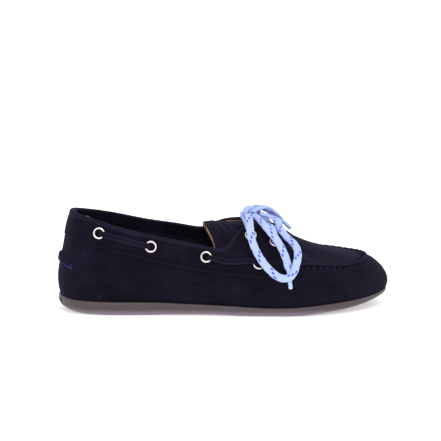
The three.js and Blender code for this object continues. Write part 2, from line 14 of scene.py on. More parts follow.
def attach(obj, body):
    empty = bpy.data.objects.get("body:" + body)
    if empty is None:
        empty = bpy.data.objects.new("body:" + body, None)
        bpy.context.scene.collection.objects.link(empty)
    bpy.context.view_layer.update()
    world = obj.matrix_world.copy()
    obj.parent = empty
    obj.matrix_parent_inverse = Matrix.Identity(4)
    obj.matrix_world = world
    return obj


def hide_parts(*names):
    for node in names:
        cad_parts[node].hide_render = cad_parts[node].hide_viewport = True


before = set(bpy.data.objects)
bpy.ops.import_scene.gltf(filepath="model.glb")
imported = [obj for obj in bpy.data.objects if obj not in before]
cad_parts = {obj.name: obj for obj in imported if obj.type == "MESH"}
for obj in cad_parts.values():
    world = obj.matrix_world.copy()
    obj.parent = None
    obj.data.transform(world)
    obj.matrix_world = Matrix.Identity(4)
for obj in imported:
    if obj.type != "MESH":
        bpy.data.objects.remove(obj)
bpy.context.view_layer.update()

# %% [markdown]
# ## Units
# The shoe was drawn in millimetres from the heel back, and the solids were then moved so that the
# middle of the shoe is the origin. Points stay in those millimetres in the whole lesson, and one
# function turns them into metres of the finished frame.

# %% Millimetres to metres
SHIFT = np.array([-129.228, 0.869, 0.0])


def metres(points):
    return (np.asarray(points, float) + SHIFT) * 0.001


print("heel back at", metres([0, 0, 0]))

# %% [markdown]
# ## Camera
# A product photograph of a shoe is taken from far off with a long lens, so that near and far parts
# keep their true sizes. The camera stands 4 m away, 11 degrees above the floor and 4 degrees
# towards the heel, and a long lens frames the shoe.

# %% Camera
TURN, FALL, DISTANCE, FRAME_WIDTH = math.radians(4), math.radians(11), 4.0, 0.3424
look = Vector((math.sin(TURN) * math.cos(FALL), math.cos(TURN) * math.cos(FALL), -math.sin(FALL)))
aside = look.cross(Vector((0, 0, 1))).normalized()
aim = Vector(metres((128.06, 12.71, 65.4)))
camera_data = bpy.data.cameras.new("camera")
camera_data.sensor_width = 36
camera_data.lens = 36 * DISTANCE / FRAME_WIDTH
camera_data.clip_end = 20
camera = bpy.data.objects.new("camera", camera_data)
axes = Matrix((aside, aside.cross(look), -look)).transposed().to_4x4()
camera.matrix_world = Matrix.Translation(aim - look * DISTANCE) @ axes
bpy.context.scene.collection.objects.link(camera)
bpy.context.scene.camera = camera
bpy.context.scene.view_settings.view_transform = "Standard"
print("lens", round(camera_data.lens, 1), "mm")

# %% [markdown]
# ## Numbers in a finish
# A finish, or material, is a tree of nodes. Built by hand it takes a line for each node and link.
# Here a small class wraps a socket, so that sums are written as sums, and one method makes any
# other node from its type, its settings and the values of its sockets.

# %% Sockets that can be added and multiplied
class Value:
    def __init__(self, finish, socket):
        self.finish = finish
        self.socket = socket

    def __add__(self, other):
        return self.finish.maths("ADD", self, other)

    def __sub__(self, other):
        return self.finish.maths("SUBTRACT", self, other)

    def __rsub__(self, other):
        return self.finish.maths("SUBTRACT", other, self)

    def __mul__(self, other):
        return self.finish.maths("MULTIPLY", self, other)

    def __lt__(self, other):
        return self.finish.maths("LESS_THAN", self, other)

    __radd__ = __add__
    __rmul__ = __mul__


class Finish:
    def __init__(self, name, **constants):
        self.material = bpy.data.materials.new(name)
        self.material.use_nodes = True
        self.nodes = self.material.node_tree.nodes
        self.links = self.material.node_tree.links
        self.shader = self.nodes["Principled BSDF"]
        for socket, value in constants.items():
            self.shader.inputs[socket.replace("_", " ")].default_value = value

    def put(self, socket, value):
        if isinstance(value, Value):
            self.links.new(value.socket, socket)
        else:
            socket.default_value = value

    def node(self, kind, settings=None, values=None, output=0):
        made = self.nodes.new(kind)
        for name, setting in (settings or {}).items():
            setattr(made, name, setting)
        for name, value in (values or {}).items():
            self.put(made.inputs[name], value)
        return Value(self, made.outputs[output])

    def maths(self, operation, *terms):
        return self.node("ShaderNodeMath", {"operation": operation}, dict(enumerate(terms)))

    def mix(self, share, first, second):
        settings = {"data_type": "RGBA", "clamp_factor": True}
        return self.node("ShaderNodeMix", settings, {0: share, 6: first, 7: second}, 2)

    def place(self):
        return self.node("ShaderNodeTexCoord", output="Object")

    def noise(self, scale, detail=2, place=None):
        values = {"Vector": place or self.place(), "Scale": scale, "Detail": detail}
        return self.node("ShaderNodeTexNoise", values=values)

    def soft_step(self, value, low, high):
        settings = {"interpolation_type": "SMOOTHSTEP"}
        return self.node("ShaderNodeMapRange", settings, {0: value, 1: low, 2: high})

    def attribute(self, name):
        return self.node("ShaderNodeAttribute", {"attribute_name": name}, output="Fac")

    def uv(self):
        across = self.node("ShaderNodeUVMap", {"uv_map": "run"})
        split = self.node("ShaderNodeSeparateXYZ", values={0: across}).socket.node
        return Value(self, split.outputs["X"]), Value(self, split.outputs["Y"])

    def bump(self, height, distance, strength=1.0):
        values = {"Height": height, "Distance": distance, "Strength": strength}
        self.put(self.shader.inputs["Normal"], self.node("ShaderNodeBump", values=values))

    def colour(self, value):
        self.put(self.shader.inputs["Base Color"], value)

    def roughness(self, value):
        self.put(self.shader.inputs["Roughness"], value)


def rgb(red, green, blue):
    """A screen colour of 0 to 255 as the shader's linear colour."""
    return (*((channel / 255) ** 2.2 for channel in (red, green, blue)), 1.0)


print("sums of sockets are ready")

# %% [markdown]
# ## Suede
# Suede is the napped flesh side of leather. Its short fibres scatter light, so it shows no
# highlight, a pale sheen where it is seen edge on, and lighter and darker patches where a hand has
# brushed the nap. Edges, rims, ridges and fold tops are painted lighter, a painted highlight, and
# hollows, grooves and stitch lines darker, a painted shade; each piece carries this painted light
# and shade in a point attribute.

# %% Suede finishes
def suede(name, dark, light, painted_highlight_colour):
    finish = Finish(name, Sheen_Weight=0.08, Sheen_Roughness=0.5, Specular_IOR_Level=0.1)
    finish.shader.inputs["Sheen Tint"].default_value = rgb(120, 120, 190)
    stretch = finish.node("ShaderNodeMapping", values={"Vector": finish.place(), "Scale": (1, 1, 1.8)})
    patches = finish.soft_step(finish.noise(40, 6, stretch), 0.32, 0.72)
    mottle = finish.soft_step(finish.noise(760, 3), 0.34, 0.68)
    fibre = finish.noise(1500, 2)
    painted_shading = finish.attribute("painted_shading")
    share = patches * 0.42 + mottle * 0.28 + fibre * 0.16
    base = finish.mix(share, dark, light)
    # painted highlight: above 0 the colour goes towards the third colour; painted shade: below 0 it goes
    # towards near black
    highlighted = finish.mix(finish.maths("MAXIMUM", painted_shading, 0.0), base, painted_highlight_colour)
    painted_shade_share = finish.maths("MINIMUM", painted_shading, 0.0) * -0.9
    finish.colour(finish.mix(painted_shade_share, highlighted, rgb(7, 7, 12)))
    finish.roughness(0.88 + fibre * 0.12)
    finish.bump(fibre * 0.6 + mottle * 0.5 + patches * 0.5, 0.0002, 0.55)
    return finish.material


# the third colour of each suede is its painted highlight colour, paler on the thong for its painted edge
# highlights
NAVY = suede("navy_suede", rgb(7, 5, 11), rgb(31, 27, 42), rgb(48, 44, 64))
THONG = suede("thong_suede", rgb(9, 7, 14), rgb(32, 28, 44), rgb(56, 52, 74))
print("suede", NAVY.name, THONG.name)

# %% [markdown]
# ## Lining, insole, rubber, nickel, rope and thread
# The tan lining is the raw back of a split hide, mottled and dry. The sole is moulded rubber: even,
# a little glossy, and painted paler towards its lower edge, a painted light for light through the
# thin rubber and the pale floor's reflection. The lace is braided: yarns cross in two directions,
# and two royal blue yarns show as pairs of short slanted dashes. Its map runs along the lace in X,
# in millimetres, and once around it in Y.

# %% Lining and insole
def hide(name, dark, light, scale):
    finish = Finish(name, Specular_IOR_Level=0.2)
    mottle = finish.noise(scale, 5)
    grain = finish.noise(1400, 3)
    finish.colour(finish.mix(finish.soft_step(mottle, 0.35, 0.68) * 0.7 + grain * 0.3, dark, light))
    finish.roughness(0.8 + grain * 0.15)
    finish.bump(grain * 0.6 + mottle * 0.4, 0.0003, 0.5)
    return finish.material


TAN = hide("tan_lining", rgb(104, 80, 54), rgb(178, 148, 108), 130)
# the dark lining is near black, and so also stands for the shade inside the shoe and under the tongue
DARK_LINING_AND_SHADE = hide("dark_lining_and_shade", rgb(14, 13, 20), rgb(33, 31, 45), 90)
INSOLE = hide("insole_cover", rgb(16, 15, 20), rgb(36, 33, 40), 70)
PATCH = hide("bare_patch", rgb(44, 34, 30), rgb(66, 54, 48), 400)
print("linings", TAN.name, DARK_LINING_AND_SHADE.name, INSOLE.name)

# %% Rubber
def rubber():
    finish = Finish("sole_rubber", Specular_IOR_Level=0.45)
    height = finish.node("ShaderNodeSeparateXYZ", values={0: finish.place()}, output="Z")
    cloud = finish.noise(60, 3)
    fine = finish.noise(900, 2)
    body = finish.mix(cloud * 0.6 + fine * 0.15, rgb(59, 49, 53), rgb(80, 69, 74))
    # painted light: the lower edge is painted paler, for light through the thin rubber and the pale floor's
    # reflection
    lower = finish.soft_step(height + (cloud - 0.5) * 0.002, 0.0060, 0.0002)
    finish.colour(finish.mix(lower * 0.6, body, rgb(152, 140, 156)))
    scuff = finish.soft_step(finish.noise(210, 4), 0.62, 0.72)
    finish.roughness(0.42 + fine * 0.12 + scuff * 0.2)
    finish.bump(fine * 0.4 + scuff * 0.6, 0.00008, 0.5)
    return finish.material


def tread_rubber():
    finish = Finish("tread_rubber", Specular_IOR_Level=0.4)
    across = finish.node("ShaderNodeSeparateXYZ", values={0: finish.place()}).socket.node
    along, side = Value(finish, across.outputs["X"]), Value(finish, across.outputs["Y"])
    zigzag = finish.maths("PINGPONG", side, 0.004)
    slit = finish.maths("FRACT", (along + zigzag * 0.9) * 210)
    cut = finish.maths("COMPARE", slit, 0.5, 0.09)
    fine = finish.noise(700, 2)
    base = finish.mix(fine, rgb(120, 106, 116), rgb(146, 132, 144))
    # painted shade: the zigzag slits are painted dark
    finish.colour(finish.mix(cut * 0.8, base, rgb(50, 42, 46)))
    finish.roughness(0.55 + fine * 0.2)
    finish.bump(1 - cut, 0.0006, 0.8)
    return finish.material


RUBBER, TREAD_RUBBER = rubber(), tread_rubber()
print("rubber", RUBBER.name, TREAD_RUBBER.name)

# %% Nickel, thread and aglets
def nickel():
    finish = Finish("nickel", Metallic=1.0)
    smear = finish.noise(420, 3)
    finish.colour(finish.mix(smear, rgb(198, 186, 184), rgb(232, 224, 222)))
    finish.roughness(0.22 + smear * 0.16)
    finish.bump(smear, 0.00005, 0.3)
    return finish.material


def yarn(name, dark, light, ply):
    finish = Finish(name, Specular_IOR_Level=0.1)
    twist = finish.node("ShaderNodeTexWave", {"bands_direction": "DIAGONAL"},
                        {"Vector": finish.place(), "Scale": ply, "Distortion": 1.5}, "Fac")
    finish.colour(finish.mix(twist, dark, light))
    finish.roughness(0.6 + twist * 0.2)
    finish.bump(twist, 0.0001, 0.5)
    return finish.material


NICKEL = nickel()
NAVY_THREAD = yarn("navy_thread", rgb(13, 11, 24), rgb(21, 18, 36), 900)
ROYAL_THREAD = yarn("royal_thread", rgb(34, 42, 96), rgb(64, 78, 150), 900)
COUNTER_THREAD = yarn("counter_thread", rgb(19, 20, 45), rgb(38, 40, 78), 900)
SEAM_THREAD = yarn("seam_thread", rgb(20, 26, 44), rgb(42, 52, 78), 700)
AGLET = yarn("aglet_sleeve", rgb(150, 180, 232), rgb(186, 210, 248), 200)
print("nickel, threads and aglets")

# %% Rope
FLECK_RUN = 17.0
FLECKS = [(1.2, 0.33, 0.036), (4.3, 0.25, 0.028), (7.4, 0.17, 0.036),
          (9.7, 0.83, 0.036), (12.8, 0.75, 0.028), (15.9, 0.67, 0.036)]


def rope():
    finish = Finish("rope_lace", Specular_IOR_Level=0.2, Sheen_Weight=0.15)
    along, around = finish.uv()
    twill = finish.maths("SINE", (along * 0.62 + around * 9) * 2 * math.pi)
    cross = finish.maths("SINE", (along * 0.62 - around * 9) * 2 * math.pi)
    braid = finish.maths("MAXIMUM", twill, cross)
    fibre = finish.noise(2600, 2)
    base = finish.mix(braid * 0.3 + 0.35 + fibre * 0.3, rgb(134, 158, 224), rgb(186, 202, 248))
    fleck = None
    for start, middle, half in FLECKS:
        step = finish.maths("FRACT", (along - start) * (1 / FLECK_RUN)) * FLECK_RUN - FLECK_RUN / 2
        inside = finish.maths("ABSOLUTE", step) < 1.3
        level = finish.maths("ABSOLUTE", around - middle) < half
        fleck = inside * level if fleck is None else fleck + inside * level
    finish.colour(finish.mix(fleck, base, rgb(70, 72, 222)))
    finish.roughness(0.72 + fibre * 0.15)
    finish.bump(braid * 0.8 + fibre * 0.2, 0.0003, 0.6)
    return finish.material


ROPE = rope()
print("rope", ROPE.name)

# %% [markdown]
# ## Pieces from points
# Almost every piece here is a net: rows and columns of points with a face between each four. A
# helper makes the mesh, gives it its finish, map and painted light and shade, and ties it to the
# shoe and the frame.

# %% Nets
def net_faces(rows, columns, closed=False):
    """Faces of a net, turned so that columns times rows points outwards."""
    row = np.arange(rows - 1)[:, None]
    column = np.arange(columns if closed else columns - 1)[None, :]
    after = (column + 1) % columns
    corners = (row * columns + column, row * columns + after,
               (row + 1) * columns + after, (row + 1) * columns + column)
    return np.stack(corners, -1).reshape(-1, 4)


def piece(name, points, faces, finishes, nodes=(), painted_shading=None, kinds=None, run=None):
    """A piece of the shoe from points in millimetres. run is a map value for each face corner."""
    mesh = bpy.data.meshes.new(name)
    mesh.from_pydata(metres(points).reshape(-1, 3).tolist(), [], [list(map(int, face)) for face in faces])
    for finish in finishes:
        mesh.materials.append(finish)
    if kinds is not None:
        mesh.polygons.foreach_set("material_index", np.asarray(kinds, np.int32))
    mesh.polygons.foreach_set("use_smooth", np.ones(len(mesh.polygons), bool))
    # painted light and shade for each point, which the suede finishes read
    if painted_shading is not None:
        layer = mesh.attributes.new("painted_shading", "FLOAT", "POINT")
        layer.data.foreach_set("value", np.ascontiguousarray(painted_shading, np.float32).ravel())
    if run is not None:
        layer = mesh.uv_layers.new(name="run")
        layer.data.foreach_set("uv", np.ascontiguousarray(run, np.float32).ravel())
    mesh.update()
    thing = bpy.data.objects.new(name, mesh)
    bpy.context.scene.collection.objects.link(thing)
    return dress(thing, nodes)


def dress(thing, nodes=()):
    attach(thing, "root")
    if nodes:
        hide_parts(*nodes)
    print(thing.name, len(thing.data.polygons), "faces")
    return thing


print("nets are ready")

# %% [markdown]
# ## The rope lace: lines
# The lace is one rope. Its two loops and two ends hang free, so each is a cord of a fixed length,
# laid along points chosen on the shoe. A smooth line runs through the points, and an oval section
# is carried along it with its flat side turned away from the foot.

# %% A smooth line through points
def through(points, steps):
    """A smooth curve through rows of points, with steps places from one row to the next."""
    points = np.asarray(points, float)
    knots = np.concatenate([[2 * points[0] - points[1]], points, [2 * points[-1] - points[-2]]])
    t = (np.arange(steps) / steps).reshape(-1, *[1] * (points.ndim - 1))
    parts = []
    for a, b, c, d in zip(knots, knots[1:], knots[2:], knots[3:]):
        lengths = [np.sqrt(np.linalg.norm(q - p, axis=-1, keepdims=True)) + 1e-9
                   for p, q in ((a, b), (b, c), (c, d))]
        before, here, after = lengths
        leave = here * ((b - a) / before - (c - a) / (before + here) + (c - b) / here)
        arrive = here * ((c - b) / here - (d - b) / (here + after) + (d - c) / after)
        parts.append((2 * t**3 - 3 * t**2 + 1) * b + (t**3 - 2 * t**2 + t) * leave
                     + (3 * t**2 - 2 * t**3) * c + (t**3 - t**2) * arrive)
    return np.concatenate([*parts, points[-1:]])


def lengths_along(line):
    return np.concatenate([[0], np.cumsum(np.linalg.norm(np.diff(line, axis=0), axis=1))])


def spaced(line, spacing, *others):
    """A line again with a point every spacing millimetres, and values that go with its points."""
    along = lengths_along(line)
    count = max(2, round(along[-1] / spacing) + 1)
    places = np.linspace(0, along[-1], count)
    resampled = [np.stack([np.interp(places, along, column) for column in values.T], 1)
                 for values in (line, *others)]
    return resampled if others else resampled[0]


def unit(vectors):
    return vectors / (np.linalg.norm(vectors, axis=-1, keepdims=True) + 1e-12)


print("lines are ready")

# %% A section carried along a line
FOOT_AXIS = 30.0


def away_from_foot(line):
    """Directions out from the middle of the foot, square to the line."""
    tangents = unit(np.gradient(line, axis=0))
    away = line * [0, 1, 1] - [0, 0, FOOT_AXIS]
    return unit(away - (away * tangents).sum(1, keepdims=True) * tangents)


def tube(name, line, facing, width, thickness, finish, nodes=(), sides=20, squareness=0.8,
         edge_highlight=0.0):
    """An oval rope or flat thong along a line. width and thickness may change along it."""
    tangents = unit(np.gradient(line, axis=0))
    side = unit(np.cross(tangents, facing))
    turn = 2 * math.pi * np.arange(sides) / sides
    oval = [np.sign(f) * np.abs(f) ** squareness for f in (np.cos(turn), np.sin(turn))]
    width = np.broadcast_to(np.asarray(width, float), len(line))[:, None, None] / 2
    thickness = np.broadcast_to(np.asarray(thickness, float), len(line))[:, None, None] / 2
    ring = side[:, None] * oval[0][:, None] * width + facing[:, None] * oval[1][:, None] * thickness
    points = line[:, None] + ring
    ends = [line[:1, None] + ring[:1] * share - tangents[:1, None] * back
            for share, back in ((0.6, 0.35), (0.9, 0.12))]
    tips = [line[-1:, None] + ring[-1:] * share + tangents[-1:, None] * ahead
            for share, ahead in ((0.9, 0.12), (0.6, 0.35))]
    points = np.concatenate([*ends, points, *tips])
    rows = len(points)
    along = np.concatenate([[-0.4, -0.2], lengths_along(line), [lengths_along(line)[-1] + 0.2] * 2])
    faces = net_faces(rows, sides, closed=True)[:, ::-1]
    row, column = np.divmod(np.arange((rows - 1) * sides), sides)
    high, low = (column + 1) / sides, column / sides
    corners = [(along[row + 1], low), (along[row + 1], high), (along[row], high), (along[row], low)]
    run = np.stack([np.stack(corner, -1) for corner in corners], 1).reshape(-1, 2)
    caps = [list(range(sides)), [len(points) * sides - 1 - i for i in range(sides)]]
    cap_run = np.tile([[0.0, 0.5]], (2 * sides, 1))
    # painted highlight along the side edges of a flat section
    painted_shading = np.tile(edge_highlight * np.abs(oval[0])**3, (rows, 1))
    run = np.concatenate([run, cap_run])
    return piece(name, points, [*faces, *caps], [finish], nodes, painted_shading, run=run)


print("tubes are ready")

# %% [markdown]
# ## The rope lace: bow
# The near loop falls over the side of the shoe, passes over one eyelet and climbs back to the knot.
# The far loop is much the same on the other side. Each end wears a thin plastic sleeve, the aglet,
# which squeezes the rope round. The knot is the rope itself, wound once around the two loops.

# %% Routes of the bow
ROPE_WIDTH, ROPE_THICKNESS, AGLET_WIDTH = 6.0, 2.8, 3.2
LOOP_NEAR = [
    (148, -9.2, 73.3), (147.8, -17.8, 74.2), (147.9, -26.6, 69.1), (148.5, -32.4, 61.2), (151.3, -38, 52.6),
    (157.1, -45.4, 43), (163.9, -47, 35.6), (170, -49, 31.9), (175.4, -50.7, 32), (179.6, -48.4, 35),
    (182.6, -44.6, 42.4), (184.1, -38.6, 47.5), (182.8, -29.2, 53), (176.2, -21, 58.9), (172.6, -14.4, 63),
    (171.9, -8.4, 64.6), (171.4, -4.6, 67.8), (168.3, -2.8, 70), (163.2, -1.8, 71.7), (158, -1, 73.2),
]
LOOP_FAR = [
    (153.2, 7.2, 73.2), (154.6, 11, 74.4), (156.6, 16, 75.4), (157.4, 23.2, 71.8), (157.4, 29.6, 65.4),
    (157.2, 34.4, 53.2), (158.6, 39.6, 45.5), (161.6, 43.2, 39), (166.5, 45.2, 35.2), (171.6, 44.9, 36.6),
    (175.2, 42.6, 41.8), (176.9, 38, 48.2), (176, 32, 54.1), (173.5, 27.2, 61.2), (169.4, 22, 68.8),
    (163.9, 17, 72.8), (159.4, 13, 75.6), (156.2, 9, 77), (154.7, 5.4, 77.1),
]
END_NEAR = [
    (153, -5, 72.5), (154.9, -8.6, 71.4), (157.4, -17, 70), (162.8, -28.8, 64.7), (168.4, -33.6, 58),
    (172.9, -37.5, 50), (175.4, -41.8, 42.9), (176, -45, 39.2), (176.9, -46.8, 31.4), (177.6, -48, 25),
]
END_FAR = [
    (152, -1, 75.5), (158, 0.6, 77.2), (161.5, 2.5, 77.7), (165.5, 5, 75.7), (170.2, 7, 71.8),
    (174, 8, 67.8), (178, 8.8, 63.7), (181.6, 9.4, 60),
]
AGLET_NEAR = [(176.1, -45.6, 38.6), (177.8, -48.3, 23.2)]
AGLET_FAR = [(174.3, 8.1, 67.3), (182.4, 9.5, 59.2)]
print("routes of", len(LOOP_NEAR), len(LOOP_FAR), len(END_NEAR), len(END_FAR), "points")

# %% Loops and ends
KNOT_NODE = ["lace_knot"]


def aglet(name, ends, nodes):
    line = spaced(np.array(ends, float), 0.8)
    thick = AGLET_WIDTH * (1 - 0.1 * np.cos(np.linspace(0, 2 * math.pi, len(line))) ** 8)
    return tube(name, line, away_from_foot(line), thick, thick, AGLET, nodes, squareness=1)


def free_rope(name, points, nodes, tail=0.0):
    """A free stretch of the rope. Over its last tail millimetres it is squeezed into an aglet."""
    line = spaced(through(points, 24), 0.7)
    along = lengths_along(line)
    squeezed = np.clip((along - along[-1] + tail + 1.5) / 3, 0, 1) if tail else np.zeros(len(line))
    wave = 1 + 0.035 * np.sin(along * 0.9) + 0.02 * np.sin(along * 2.3 + 1)
    width = (ROPE_WIDTH + (AGLET_WIDTH - 0.5 - ROPE_WIDTH) * squeezed) * wave
    thickness = ROPE_THICKNESS - 0.2 * squeezed
    thing = tube(name, line, away_from_foot(line), width, thickness, ROPE, nodes)
    print(name, round(along[-1]), "mm long")
    return thing


near_sleeve = aglet("aglet_near_sleeve", AGLET_NEAR, ["aglet_near"])
far_sleeve = aglet("aglet_far_sleeve", AGLET_FAR, ["aglet_far"])
free_rope("rope_loop_near", LOOP_NEAR, ["lace_loop_near"])
free_rope("rope_loop_far", LOOP_FAR, ["lace_loop_far"])
free_rope("rope_end_near", END_NEAR, ["lace_end_near"], 13)
free_rope("rope_end_far", END_FAR, ["lace_end_far"], 11)

# %% [markdown]
# ## The last
# A shoe is made over a last, a solid foot form. Three closed lines fix it: the foot line where the
# upper meets the sole, the seam line of the collar band and the apron, and the top line of collar,
# wings and throat. Each line is a smooth curve through 32 sections, 0 at the heel, 16 at the toe
# along the outer side and back along the inner side. Lengths are shares of the shoe's length,
# widths of its ball width, and heights of the height that the line has at its highest.

# %% Sections of the last
LENGTH, BALL_WIDTH, FEATHER_HEIGHT, SEAM_HEIGHT, COLLAR_HEIGHT, INSTEP_HEIGHT = 258, 88, 11, 39, 78, 70
TOE, FIRST_WING, WING_END, COUNTER_END = 16, 7, 11, 2


def table(names, rows):
    return dict(zip(names.split(), np.array(rows, float).T))


OUTER = table("footX footY footZ seamX seamY seamZ topX topY topZ flare lean rise arrive", [
    (0.014, 0.000, 1.14, 0.028, 0.000, 1.53, 0.045, 0.000, 1.000, 17, 7, 9, 14),
    (0.043, -0.220, 1.06, 0.040, -0.150, 1.51, 0.054, -0.131, 0.990, 17, 7, 9, 14),
    (0.114, -0.321, 1.00, 0.072, -0.252, 1.46, 0.086, -0.222, 0.968, 17, 7, 9, 13),
    (0.200, -0.348, 0.97, 0.159, -0.343, 1.31, 0.172, -0.306, 0.885, 16, 6, 8, 12),
    (0.295, -0.359, 0.94, 0.267, -0.389, 1.14, 0.275, -0.348, 0.800, 20, 8, 10, 14),
    (0.380, -0.380, 0.86, 0.364, -0.419, 1.00, 0.368, -0.361, 0.740, 22, 10, 12, 18),
    (0.457, -0.409, 0.79, 0.446, -0.445, 0.90, 0.446, -0.359, 0.680, 24, 12, 15, 22),
    (0.519, -0.439, 0.73, 0.504, -0.466, 0.85, 0.490, -0.341, 0.742, 24, 14, 18, 26),
    (0.570, -0.464, 0.67, 0.550, -0.481, 0.82, 0.523, -0.278, 0.828, 24, 16, 20, 40),
    (0.616, -0.481, 0.63, 0.593, -0.489, 0.80, 0.561, -0.165, 0.962, 24, 18, 20, 52),
    (0.659, -0.492, 0.62, 0.640, -0.492, 0.81, 0.609, -0.145, 0.945, 24, 20, 22, 56),
    (0.713, -0.493, 0.65, 0.702, -0.473, 1.00, 0.674, -0.140, 0.840, 24, 24, 28, 60),
    (0.783, -0.465, 0.75, 0.764, -0.441, 1.02, 0.692, -0.102, 0.820, 22, 36, 71, 54),
    (0.853, -0.391, 0.85, 0.827, -0.389, 0.965, 0.697, -0.064, 0.817, 19, 50, 74, 56),
    (0.915, -0.273, 0.93, 0.880, -0.295, 0.95, 0.699, -0.036, 0.815, 20, 61, 76, 59),
    (0.963, -0.128, 1.04, 0.918, -0.168, 0.97, 0.700, -0.014, 0.814, 26, 69, 78, 61),
    (0.992, 0.040, 1.18, 0.932, 0.028, 0.985, 0.700, 0.006, 0.814, 30, 74, 79, 61),
])
INNER = table("footY seamY seamZ topX topY topZ", [
    (0.218, 0.149, 1.51, 0.054, 0.131, 0.985), (0.316, 0.252, 1.46, 0.086, 0.222, 0.957),
    (0.333, 0.331, 1.33, 0.172, 0.304, 0.898), (0.320, 0.359, 1.18, 0.275, 0.334, 0.820),
    (0.305, 0.366, 1.05, 0.368, 0.336, 0.771), (0.307, 0.375, 0.97, 0.434, 0.323, 0.737),
    (0.327, 0.391, 0.93, 0.469, 0.290, 0.858), (0.358, 0.414, 0.91, 0.502, 0.205, 0.935),
    (0.390, 0.432, 0.90, 0.543, 0.145, 0.968), (0.423, 0.448, 0.91, 0.597, 0.140, 0.952),
    (0.457, 0.455, 1.02, 0.667, 0.136, 0.875), (0.472, 0.436, 1.03, 0.688, 0.109, 0.837),
    (0.443, 0.390, 1.01, 0.695, 0.077, 0.827), (0.364, 0.307, 0.985, 0.698, 0.048, 0.820),
    (0.227, 0.203, 0.98, 0.700, 0.025, 0.816),
])
TREAD = table("height tuck edge", [
    (-0.04, 0.80, 0.9), (-0.04, 0.70, 1.0), (-0.04, 0.45, 1.0), (-0.04, 0.32, 1.0), (0.02, 0.30, 1.0),
    (0.06, 0.30, 1.0), (0.06, 0.30, 1.0), (0.02, 0.30, 1.0), (-0.04, 0.30, 1.0), (-0.04, 0.30, 1.0),
    (-0.04, 0.30, 1.0), (-0.02, 0.30, 1.0), (0.12, 0.30, 0.9), (0.25, 0.30, 0.75), (0.40, 0.34, 0.55),
    (0.58, 0.38, 0.35), (0.73, 0.42, 0.25),
])
print("sections", 2 * TOE)

# %% Smooth closed lines
def around(values):
    """A smooth closed curve through values that are one section apart."""
    count = len(values)
    circle = 4 * np.eye(count) + np.roll(np.eye(count), 1, 0) + np.roll(np.eye(count), -1, 0)
    control = np.linalg.solve(circle / 6, values)

    def at(u):
        whole = np.floor(u).astype(int)
        t = u - whole
        blend = ((1 - t)**3, 3 * t**3 - 6 * t**2 + 4, 1 + 3 * t + 3 * t**2 - 3 * t**3, t**3)
        return sum(share * control[(whole + step - 1) % count] for step, share in enumerate(blend)) / 6

    return at


def ring(name):
    """A column for all sections: the outer side, then the inner side back to the heel."""
    back = INNER[name][::-1] if name in INNER else OUTER[name][-2:0:-1]
    return np.concatenate([OUTER[name], back])


def rail(word, height):
    curves = [around(ring(word + "X") * LENGTH), around(ring(word + "Y") * BALL_WIDTH),
              around(ring(word + "Z") * height)]
    return lambda u: np.stack([curve(np.asarray(u, float)) for curve in curves], -1)


def fold(u):
    """The section number of a place round the shoe, the same on both sides."""
    return TOE - np.abs(np.mod(u, 2 * TOE) - TOE)


places = fold(np.arange(2 * TOE))
foot_line = rail("foot", FEATHER_HEIGHT)
seam_line = rail("seam", SEAM_HEIGHT)
top_line = rail("top", np.where(places < FIRST_WING, COLLAR_HEIGHT, INSTEP_HEIGHT))
angle = {name: around(np.radians(ring(name))) for name in ("flare", "lean", "rise", "arrive")}
tread = {name: around(np.concatenate([column, column[-2:0:-1]])) for name, column in TREAD.items()}
print("toe of the seam line", seam_line(TOE).round(1))

# %% [markdown]
# Between the lines the wall is an arc: it leaves the sole at one angle, reaches the seam line at
# another, and leaves again for the top line. So every place on the upper has two numbers, u round
# the shoe and v up the wall: 0 at the sole, 1 at the seam, 2 at the top. Each panel, seam and
# stitch below is placed with these two numbers, and lies on the same form.

# %% The wall between the lines
PROBE, HANDLE = 0.02, 0.38


def level(vectors):
    return unit(vectors * [1, 1, 0])


def outwards(u):
    ahead = foot_line(u + PROBE) - foot_line(u - PROBE)
    return level(np.stack([ahead[..., 1], -ahead[..., 0], 0 * ahead[..., 0]], -1))


def tilted(direction, turn):
    return direction * np.sin(turn)[..., None] + np.cos(turn)[..., None] * [0, 0, 1]


def arc(start, end, leaving, arriving, share):
    reach = np.linalg.norm(end - start, axis=-1, keepdims=True) * HANDLE
    t = np.asarray(share)[..., None]
    return ((1 - t)**3 * start + 3 * (1 - t)**2 * t * (start + leaving * reach)
            + 3 * (1 - t) * t**2 * (end - arriving * reach) + t**3 * end)


def last(u, v):
    u, v = np.broadcast_arrays(np.asarray(u, float), np.asarray(v, float))
    foot, seam, top = foot_line(u), seam_line(u), top_line(u)
    out, across = outwards(u), level(top - seam)
    lower = arc(foot, seam, tilted(out, angle["flare"](u)), tilted(out, -angle["lean"](u)), v)
    upper = arc(seam, top, tilted(across, angle["rise"](u)), tilted(across, angle["arrive"](u)), v - 1)
    return np.where((v <= 1)[..., None], lower, upper)


def normal(u, v):
    u, v = np.broadcast_arrays(np.asarray(u, float), np.asarray(v, float))
    along = last(u + PROBE, v) - last(u - PROBE, v)
    return unit(np.cross(along, last(u, np.minimum(v + PROBE, 2)) - last(u, np.maximum(v - PROBE, 0))))


def skin(u, v, lift):
    """Places on the last moved out of its surface."""
    return last(u, v) + normal(u, v) * np.asarray(lift, float)[..., None]


def lower_wall(u):
    return np.linalg.norm(seam_line(u) - foot_line(u), axis=-1)


def upper_wall(u):
    return np.linalg.norm(top_line(u) - seam_line(u), axis=-1)


def bell(distance, width):
    return np.exp(-(distance / width)**2)


def smooth(value, low, high):
    share = np.clip((value - low) / (high - low), 0, 1)
    return share * share * (3 - 2 * share)


print("collar back at", skin(0, 2, 0).round(1), "apron middle at", skin(TOE, 1.5, 0).round(1))
